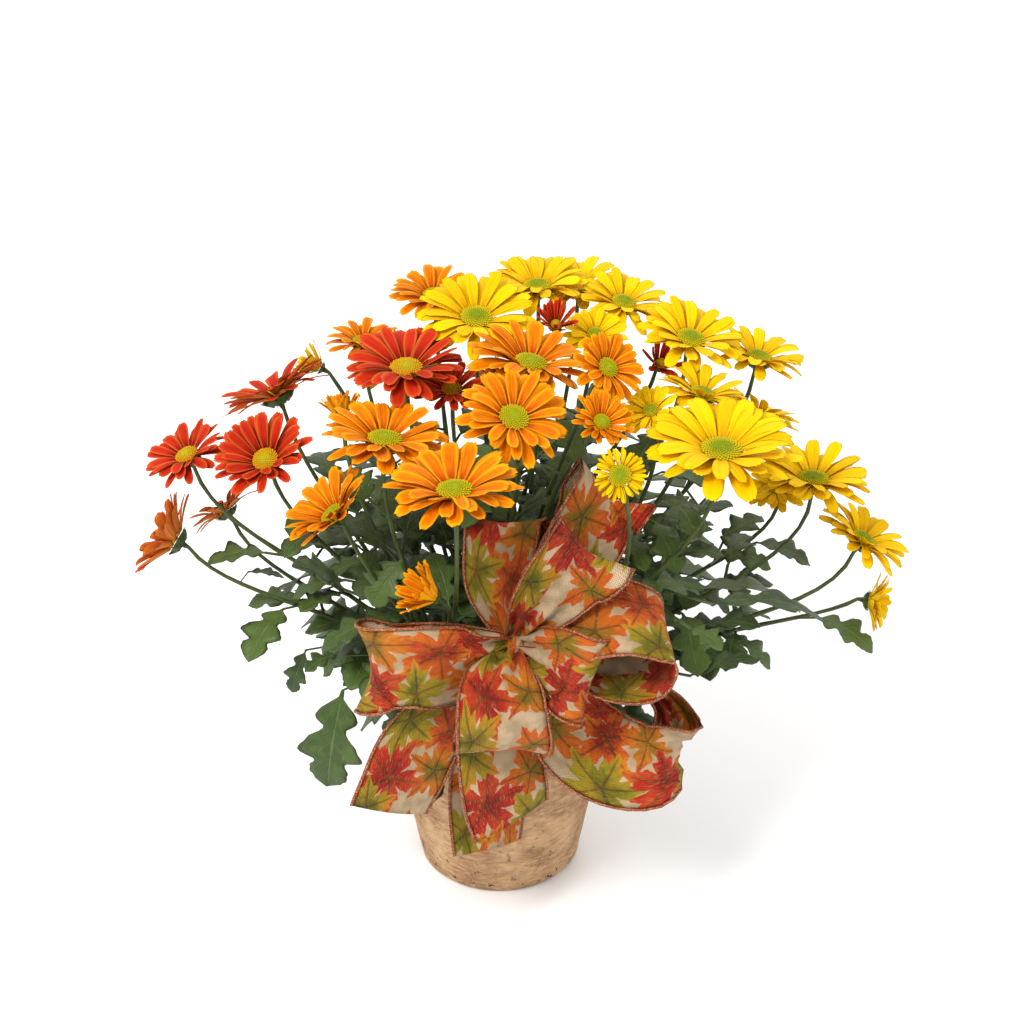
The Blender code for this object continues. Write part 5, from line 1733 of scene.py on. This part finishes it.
def ribbon_look():
    """The weave is a sine along times a sine across; each printed leaf is mixed over it."""
    look = Look("printed_ribbon", roughness=0.75)
    look.set(look.shader, {"Specular IOR Level": 0.2})
    along, across = look.uv()
    wobble = look.noise(look.point(along, across), 190.0, 3.0)
    mottle = look.noise(look.point(along, across), 75.0, 4.0)
    slubs = look.noise(look.point(along * 0.4, across * 2.2), 620.0, 2.0)
    warp = (along * THREADS_PER_METRE).math("SINE")
    threads = warp * (across * THREADS_PER_METRE).math("SINE")
    bleed = mottle.clear(0.44, 0.60)
    colour = look.mix(mottle.clear(0.35, 0.7), screen(172, 148, 112), screen(208, 188, 156))
    for leaf in PRINTED:
        x = (along - leaf.start).math("WRAP", REPEAT / 2, -REPEAT / 2)
        y = across - leaf.aside
        a = x * math.cos(leaf.turn) + y * math.sin(leaf.turn)
        b = y * math.cos(leaf.turn) - x * math.sin(leaf.turn)
        far = (a * a + b * b).math("SQRT") / leaf.size
        angle = b.math("ARCTAN2", a)
        fold = (angle * (LOBES / math.pi)).math("PINGPONG", 1.0)
        teeth = (angle * (TEETH / math.pi)).math("PINGPONG", 1.0)
        edge = 0.93 - fold * 0.42 - teeth * 0.17 + (wobble - 0.5) * 0.34
        edge = edge + angle.math("COSINE") * 0.05
        inside = (edge - far).clear(0.0, 0.05)
        out = far * (fold * (math.pi / LOBES)).math("COSINE")
        beside = far * (fold * (math.pi / LOBES)).math("SINE")
        rib = 1.0 - beside.clear(0.006, 0.045)
        twigs = 1.0 - ((out - beside * 1.2) * 15.0).math("SINE").math("ABSOLUTE").clear(0.05, 0.42)
        veins = rib.math("MAXIMUM", twigs * 0.45) * (1.0 - far.clear(0.55, 1.0))
        heart = (far + (mottle - 0.5) * 1.1).clear(0.10, 0.50)
        wash = look.mix(heart, screen(*leaf.core), screen(*leaf.ink))
        border = (far + (mottle - 0.5) * 1.3).clear(0.50, 0.92)
        wash = look.mix(border, wash, screen(*leaf.rim))
        wash = look.mix(veins * 0.7, wash, screen(56, 40, 12))
        colour = look.mix(inside, colour, wash)
    colour = look.mix(bleed * 0.12, colour, screen(206, 120, 30))
    colour = look.mix(threads.clear(-0.2, 0.8) * 0.50, colour, screen(70, 36, 20))
    colour = look.mix(slubs.clear(0.52, 0.72) * 0.30, colour, screen(214, 158, 104))
    look.paint(colour)
    look.relief(threads * 0.5 + slubs * 0.5, 0.0008, 0.8)
    return look.material


def thread_look():
    """Copper thread: dark copper with fine bright copper specks of noise, which are painted glints."""
    look = Look("wired_edge", roughness=0.42, metallic=0.35)
    glint_noise = look.noise(look.coords(), 1300.0, 2.0)
    # The bright copper specks are painted glints on the dark copper thread.
    look.paint(look.mix(glint_noise.clear(0.45, 0.70), screen(104, 40, 18), screen(214, 140, 88)))
    look.relief(glint_noise, 0.0005, 0.8)
    return look.material


RIBBON_LOOK = ribbon_look()
THREAD_LOOK = thread_look()
print("nodes in the ribbon's print:", len(RIBBON_LOOK.node_tree.nodes))

# %% [markdown]
# ## The loops and tails
# Each loop or tail is one closed strip: rows of corners run across it along the measured path.
# Where it goes into the knot it is gathered, so its width shrinks and pleats rise, as a sine
# across the width. The whole strip waves a little along its length, and its middle arches up.

# %% Strips and their wired edges
STRIP_ROWS = 48
STRIP_COLUMNS = 15
STRIP_MIDDLE = STRIP_COLUMNS // 2
STRIP_T = np.linspace(-1, 1, STRIP_COLUMNS)
INNER = np.ones(STRIP_COLUMNS - 2)
RING_T = np.concatenate([STRIP_T, STRIP_T[-2:0:-1]])
RING_SIDE = np.concatenate([[0.0], INNER, [0.0], -INNER])
HALF_THICK = 0.3
PLEAT_RISE = 3.3
ARCH_RISE = 2.4
GATHERED_UNDER = 0.90
EDGE_WIRE_RADIUS = 1.05
EDGE_WIRE_SIDES = 6
PRINT_SHIFT = 0.053


def strip_surface(stations, seed, t):
    """The middle surface of a strip at places t across it, for every row."""
    rng = np.random.RandomState(seed)
    middles, wide, normals, shares = smooth_path(stations, STRIP_ROWS)
    s = np.linspace(0, 1, STRIP_ROWS)[:, None]
    half = shares[:, None] * RIBBON_WIDTH / 2
    gathered = np.sqrt(np.clip(1 - shares ** 2, 0, 1))[:, None]
    gathered = gathered * np.clip((GATHERED_UNDER - shares[:, None]) / 0.25, 0, 1)
    pleats = PLEAT_RISE * gathered * np.cos(math.pi * 3.0 * t[None, :] + 0.6)
    pleats = pleats + ARCH_RISE * np.cos(math.pi / 2 * t[None, :]) * shares[:, None] ** 2
    phase = rng.uniform(0, 6.28, 3)
    waves = 1.3 * np.sin(9 * s + phase[0] + 1.7 * t[None, :]) + 0.8 * np.sin(17 * s + phase[1])
    waves = waves + 1.1 * np.sin(6 * s + phase[2]) * t[None, :] ** 2
    waves = waves * np.clip(shares[:, None] * 1.4 - 0.4, 0, 1)
    lift = pleats + waves
    points = middles[:, None] + wide[:, None] * (half * t[None, :])[:, :, None]
    return points + normals[:, None] * lift[:, :, None], normals


def add_strip(name, stations, seed):
    """A closed strip, the two wires of its edges, and the run of its middle line in mm."""
    surface, normals = strip_surface(stations, seed, RING_T)
    corners = surface + normals[:, None] * (RING_SIDE * HALF_THICK)[None, :, None]
    quads, ends = tube_faces(1, STRIP_ROWS, len(RING_T))
    middles = surface[:, STRIP_MIDDLE]
    run = np.concatenate([[0.0], np.cumsum(np.linalg.norm(np.diff(middles, axis=0), axis=1))])
    along = run[:, None] * MM + PRINT_SHIFT * seed + 0 * RING_T[None, :]
    across = 0 * run[:, None] + RING_T[None, :] * RIBBON_WIDTH / 2 * MM
    uv = np.stack([along, across], axis=-1).reshape(-1, 2)
    strip = add_piece("ribbon_" + name, corners.reshape(-1, 3), [quads, ends], [RIBBON_LOOK], uv)
    edges, _ = strip_surface(stations, seed, np.array([-1.0, 1.0]))
    radii = np.full(STRIP_ROWS, EDGE_WIRE_RADIUS)
    tubes = [tube_arrays(edges[:, side], radii, EDGE_WIRE_SIDES) for side in (0, 1)]
    quads, ends = tube_faces(2, STRIP_ROWS, EDGE_WIRE_SIDES)
    wire = add_piece("edge_" + name, np.concatenate(tubes), [quads, ends], [THREAD_LOOK])
    return strip, wire, float(run[-1])


print("corners of one strip:", STRIP_ROWS * len(RING_T))

# %% Make the bow
KNOT_RINGS = 15
KNOT_AROUND = 40
KNOT_FRONT = -8.5
KNOT_DEPTH = 26.0
KNOT_PLACES = (0, 0.12, 0.33, 0.5, 0.85, 1.0)
KNOT_RADII = (2.5, 7.0, KNOT_RADIUS, NECK_RADIUS, NECK_RADIUS, 5.6)

knot_centre = sight(*KNOT)
shrink = np.linspace(0, 1, KNOT_RINGS)
knot_path = knot_centre + np.outer(KNOT_FRONT + KNOT_DEPTH * shrink, [0.0, 1.0, 0.0])
knot_radii = np.interp(shrink, KNOT_PLACES, KNOT_RADII)
around = np.arange(KNOT_AROUND) * math.tau / KNOT_AROUND
folds = 1 + 0.10 * np.sin(9 * around[None, :] + 5 * shrink[:, None]) * (shrink[:, None] < 0.45)
ring = np.stack([np.cos(around), 0 * around, np.sin(around)], axis=-1)
knot = knot_path[:, None] + ring[None] * (knot_radii[:, None] * folds)[:, :, None]
knot_uv = np.stack(np.broadcast_arrays(shrink[:, None] * 0.03, around[None, :] * 0.009), axis=-1)
quads, ends = tube_faces(1, KNOT_RINGS, KNOT_AROUND)
knot_piece = add_piece("ribbon_knot", knot.reshape(-1, 3), [quads, ends], [RIBBON_LOOK],
                       knot_uv.reshape(-1, 2))
settle(knot_piece, "printed_ribbon", "ribbon_bow")
for number, (name, stations) in enumerate(RIBBON.items()):
    strip, wire, run = add_strip(name, stations, number + 1)
    settle(strip, "printed_ribbon", "ribbon_bow")
    settle(wire, "tie_wire", "ribbon_bow")
print("strips made:", len(RIBBON))

# %% [markdown]
# ## The pot
# The pot is pressed from cork-like fibre. Its wall is turned from a profile and then roughened:
# a sum of a few sine waves round and up the wall stands for the soft unevenness of the pressing.
# The mottling and the fibres are stretched noise.


# %% Pot material
def pot_look():
    """Clouds, fibres and dark spots of noise, with more spots near the foot."""
    look = Look("pot_fibre", roughness=0.85)
    clouds = look.noise(look.coords(), 38.0, 4.0, 0.6)
    fibres = look.noise(look.stretched(1.0, 1.0, 3.4), 120.0, 5.0, 0.7)
    fine = look.noise(look.stretched(1.0, 1.0, 2.0), 520.0, 3.0, 0.6)
    spots = look.noise(look.coords(), 210.0, 2.0)
    height = look.node("ShaderNodeSeparateXYZ", {}, {0: look.coords()}).value("Z")
    colour = look.mix(clouds.clear(0.35, 0.68), screen(146, 108, 72), screen(188, 150, 108))
    colour = look.mix(fibres.clear(0.48, 0.72) * 0.7, colour, screen(204, 170, 128))
    colour = look.mix(fibres.clear(0.50, 0.30) * 0.6, colour, screen(112, 76, 46))
    low = (1.0 - height.clear(0.0, 0.05)) * 0.7 + 0.35
    colour = look.mix(spots.clear(0.62, 0.72) * low, colour, screen(74, 50, 34))
    look.paint(colour)
    look.relief(fibres * 0.6 + fine * 0.5 - spots.clear(0.62, 0.74) * 0.4, 0.0016, 0.8)
    return look.material


def soil_look():
    """Dark clumps of noise with pale flecks."""
    look = Look("potting_soil", roughness=0.95)
    clumps = look.noise(look.coords(), 160.0, 4.0, 0.6)
    fine = look.noise(look.coords(), 900.0, 3.0)
    colour = look.mix(clumps.clear(0.35, 0.7), screen(44, 33, 25), screen(82, 62, 45))
    look.paint(look.mix(fine.clear(0.6, 0.75) * 0.5, colour, screen(130, 108, 80)))
    look.relief(clumps + fine * 0.6, 0.002, 0.8)
    return look.material


POT_LOOK = pot_look()
SOIL_LOOK = soil_look()
print("pot looks:", POT_LOOK.name, SOIL_LOOK.name)


# %% Make the pot
def lathe_arrays(profile, around):
    """The profile carried round the upright axis as rings of corners; the small rings by the axis are
    closed later by end faces.
    """
    profile = np.asarray(profile, float)
    turns = np.arange(around) * math.tau / around
    ring = np.stack([np.cos(turns), np.sin(turns)], axis=-1)
    flat = profile[:, 0, None, None] * ring[None]
    up = np.broadcast_to(profile[:, 1, None, None], (len(profile), around, 1))
    return np.concatenate([flat, up], axis=-1)


def finer(profile, most):
    """The same profile with points added, so that none are further apart than most."""
    profile = np.asarray(profile, float)
    run = np.concatenate([[0.0], np.cumsum(np.linalg.norm(np.diff(profile, axis=0), axis=1))])
    places = np.unique(np.concatenate([run, np.arange(0, run[-1], most)]))
    return np.stack([np.interp(places, run, profile[:, axis]) for axis in (0, 1)], axis=-1)


POT_AROUND = 128
POT_STEP = 3.0
AXIS_RADIUS = 0.5
INNER_RADIUS = 50

wall = finer([(AXIS_RADIUS, 0.0) if radius == 0 else (radius, height)
              for radius, height in pot_profile()[:-1]] + [(AXIS_RADIUS, POT_FLOOR)], POT_STEP)
pot = lathe_arrays(wall, POT_AROUND)
turn = np.arctan2(pot[..., 1], pot[..., 0])
rough = (0.30 * np.sin(5 * turn + pot[..., 2] * 0.11) + 0.22 * np.sin(13 * turn - pot[..., 2] * 0.23)
         + 0.16 * np.sin(29 * turn + pot[..., 2] * 0.41))
rough = rough * np.clip(pot[..., 2] / 4.0, 0, 1)
rough = rough * (np.hypot(pot[..., 0], pot[..., 1]) > INNER_RADIUS)
pot[..., :2] *= 1 - np.abs(rough[..., None]) / POT_RIM_RADIUS
quads, ends = tube_faces(1, len(wall), POT_AROUND)
pot_piece = add_piece("fibre_pot", pot.reshape(-1, 3), [quads, ends], [POT_LOOK])
settle(pot_piece, "pot_fibre", "pot")
print("pot corners:", pot.shape[0] * pot.shape[1])

# %% [markdown]
# ## The soil
# The soil is the same turned plug as the measured one, with a lumpy top. Crumbs are small
# squashed six-sided lumps, sunk into it at seeded places, all in one array.

# %% Make the soil
SOIL_AROUND = 96
SOIL_STEP = 4.0
CRUMBS = 420
CRUMB_REACH = 68.0
CRUMB_SIDES = 6
CRUMB_ROWS = np.array([(-0.8, 0.35), (-0.3, 0.95), (0.35, 0.85), (0.8, 0.3)])

rng = np.random.RandomState(SEED)
plug = finer([(AXIS_RADIUS if radius == 0 else radius, height)
              for radius, height in soil_profile()], SOIL_STEP)
soil = lathe_arrays(plug, SOIL_AROUND)
top = soil[..., 2] > SOIL_EDGE_HEIGHT - 1.0
lumps = (np.sin(soil[..., 0] * 0.45) * np.cos(soil[..., 1] * 0.52)
         + 0.6 * np.sin(soil[..., 0] * 1.1 + 2) * np.sin(soil[..., 1] * 0.9))
soil[..., 2] += np.where(top, lumps * 0.9 - 0.6, 0.0)
quads, ends = tube_faces(1, len(plug), SOIL_AROUND)
far = np.sqrt(rng.uniform(0, 1, CRUMBS)) * CRUMB_REACH
turns = rng.uniform(0, math.tau, CRUMBS)
size = rng.uniform(1.0, 3.0, CRUMBS)
level = SOIL_MOUND_HEIGHT - 6.0 * np.clip((far / 71.0 - 0.5) / 0.5, 0, 1)
spots = np.stack([far * np.cos(turns), far * np.sin(turns), level], axis=-1)
sixes = np.arange(CRUMB_SIDES) * math.tau / CRUMB_SIDES
wide = CRUMB_ROWS[:, 1, None]
lump = np.stack(np.broadcast_arrays(wide * np.cos(sixes), wide * np.sin(sixes),
                                    CRUMB_ROWS[:, 0, None] * 0.8), axis=-1)
crumbs = spots[:, None, None] + lump[None] * size[:, None, None, None]
crumbs += rng.uniform(-0.22, 0.22, crumbs.shape) * size[:, None, None, None]
crumb_quads, crumb_ends = tube_faces(CRUMBS, len(CRUMB_ROWS), CRUMB_SIDES)
corners = np.concatenate([soil.reshape(-1, 3), crumbs.reshape(-1, 3)])
start = soil.shape[0] * soil.shape[1]
soil_piece = add_piece("soil_fill", corners, [quads, ends, crumb_quads + start, crumb_ends + start],
                       [SOIL_LOOK])
settle(soil_piece, "potting_soil", "soil")
print("crumbs:", CRUMBS)

# %% [markdown]
# ## The tie and the pick
# The bow hangs on a wooden florist pick, and a twist of wire round its neck holds it there. The
# wire is a thin ring, and the pick a round stick with a slight taper and long grain.

# %% Make the tie and the pick
TIE_RINGS = 41
TIE_SIDES = 8
TIE_RISE = 1.2
PICK_RINGS = 12
PICK_SIDES = 14
PICK_TIP_RADIUS = 1.9

wire_look = Look("tie_wire", roughness=0.4, metallic=0.8)
dull = wire_look.noise(wire_look.coords(), 700.0, 2.0)
wire_look.paint(wire_look.mix(dull.clear(0.4, 0.7), screen(70, 62, 44), screen(112, 100, 72)))
turns = np.arange(TIE_RINGS) * math.tau / (TIE_RINGS - 1)
coil = NECK_RADIUS + GAP + TIE_WIRE_RADIUS
centre = knot_centre + np.array([0.0, NECK_BEHIND, 0.0])
loops = np.linspace(0, 1, TIE_RINGS) * TIE_RISE - TIE_RISE / 2
loop = centre + np.stack([coil * np.cos(turns), loops, coil * np.sin(turns)], axis=-1)
out = (loop - centre) * np.array([1.0, 0.0, 1.0]) / coil
sides = np.arange(TIE_SIDES) * math.tau / TIE_SIDES
back = np.array([0.0, 1.0, 0.0])
ring = out[:, None] * np.cos(sides)[None, :, None] + back * np.sin(sides)[None, :, None]
quads, ends = tube_faces(1, TIE_RINGS, TIE_SIDES)
tie = add_piece("wire_tie", (loop[:, None] + ring * TIE_WIRE_RADIUS).reshape(-1, 3), [quads, ends],
                [wire_look.material])
settle(tie, "tie_wire", "bow_tie")

wood = Look("pick_wood", roughness=0.7)
grain = wood.noise(wood.stretched(1.0, 1.0, 0.05), 900.0, 3.0)
wood.paint(wood.mix(grain.clear(0.35, 0.7), screen(150, 118, 78), screen(198, 168, 122)))
wood.relief(grain, 0.0004, 0.5)
foot, top = pick_points()
stick = foot + np.linspace(0, 1, PICK_RINGS)[:, None] * (top - foot)
radii = np.linspace(PICK_TIP_RADIUS, PICK_RADIUS, PICK_RINGS)
pick = add_piece("wood_pick", tube_arrays(stick, radii, PICK_SIDES),
                 tube_faces(1, PICK_RINGS, PICK_SIDES), [wood.material])
settle(pick, "pick_wood", "bow_pick")
print("tie and pick made")

# %% [markdown]
# ## Floor, light and camera
# The picture is a cut-out on white under soft, even light. A pale floor, a bright world and three
# large area lights give that. The camera stands at the eye point of the picture.

# %% Set the stage
floor_look = Look("pale_floor", roughness=0.9)
soft = floor_look.noise(floor_look.coords(), 2.0, 2.0)
floor_look.paint(floor_look.mix(soft, (0.90, 0.90, 0.90), (0.94, 0.94, 0.94)))
FLOOR_HALF = 6.0
FLOOR_FRONT = -4.0
FLOOR_BACK = 9.0
FLOOR_LEVEL = -0.0004
floor_mesh = bpy.data.meshes.new("floor")
floor_mesh.from_pydata([(-FLOOR_HALF, FLOOR_FRONT, FLOOR_LEVEL), (FLOOR_HALF, FLOOR_FRONT, FLOOR_LEVEL),
                        (FLOOR_HALF, FLOOR_BACK, FLOOR_LEVEL), (-FLOOR_HALF, FLOOR_BACK, FLOOR_LEVEL)],
                       [], [(0, 1, 2, 3)])
floor_mesh.materials.append(floor_look.material)
floor = bpy.data.objects.new("floor", floor_mesh)
bpy.context.scene.collection.objects.link(floor)

world = bpy.data.worlds.new("studio")
bpy.context.scene.world = world
world.use_nodes = True
world.node_tree.nodes["Background"].inputs[0].default_value = (1.0, 1.0, 1.0, 1.0)
world.node_tree.nodes["Background"].inputs[1].default_value = 1.0


Lamp = namedtuple("Lamp", "name place size power")
LAMPS = (
    Lamp("key", (-0.8, -1.3, 1.9), 0.7, 42.0),
    Lamp("fill", (1.5, -1.0, 1.0), 1.2, 5.0),
    Lamp("back", (0.4, 1.5, 1.6), 1.0, 10.0),
)
LAMP_TARGET = (0, 0, 0.3)
for lamp in LAMPS:
    data = bpy.data.lights.new(lamp.name, "AREA")
    data.size = lamp.size
    data.energy = lamp.power
    light = bpy.data.objects.new(lamp.name, data)
    way = unit(np.subtract(LAMP_TARGET, lamp.place))
    light.location = lamp.place
    light.rotation_euler = (math.acos(-way[2]), 0.0, math.atan2(-way[0], way[1]))
    bpy.context.scene.collection.objects.link(light)
bpy.context.scene.view_settings.view_transform = "Standard"

SENSOR_WIDTH = 36.0
camera = bpy.data.objects.new("camera", bpy.data.cameras.new("camera"))
camera.data.sensor_width = SENSOR_WIDTH
camera.data.lens = SENSOR_WIDTH * VIEW_FOCAL / (2 * VIEW_CENTRE)
camera.data.clip_start = 0.05
camera.data.clip_end = 50.0
camera.location = EYE * MM
camera.rotation_euler = (math.radians(90.0 - VIEW_PITCH), 0.0, 0.0)
bpy.context.scene.collection.objects.link(camera)
bpy.context.scene.camera = camera
print("lens:", round(camera.data.lens, 1), "mm")
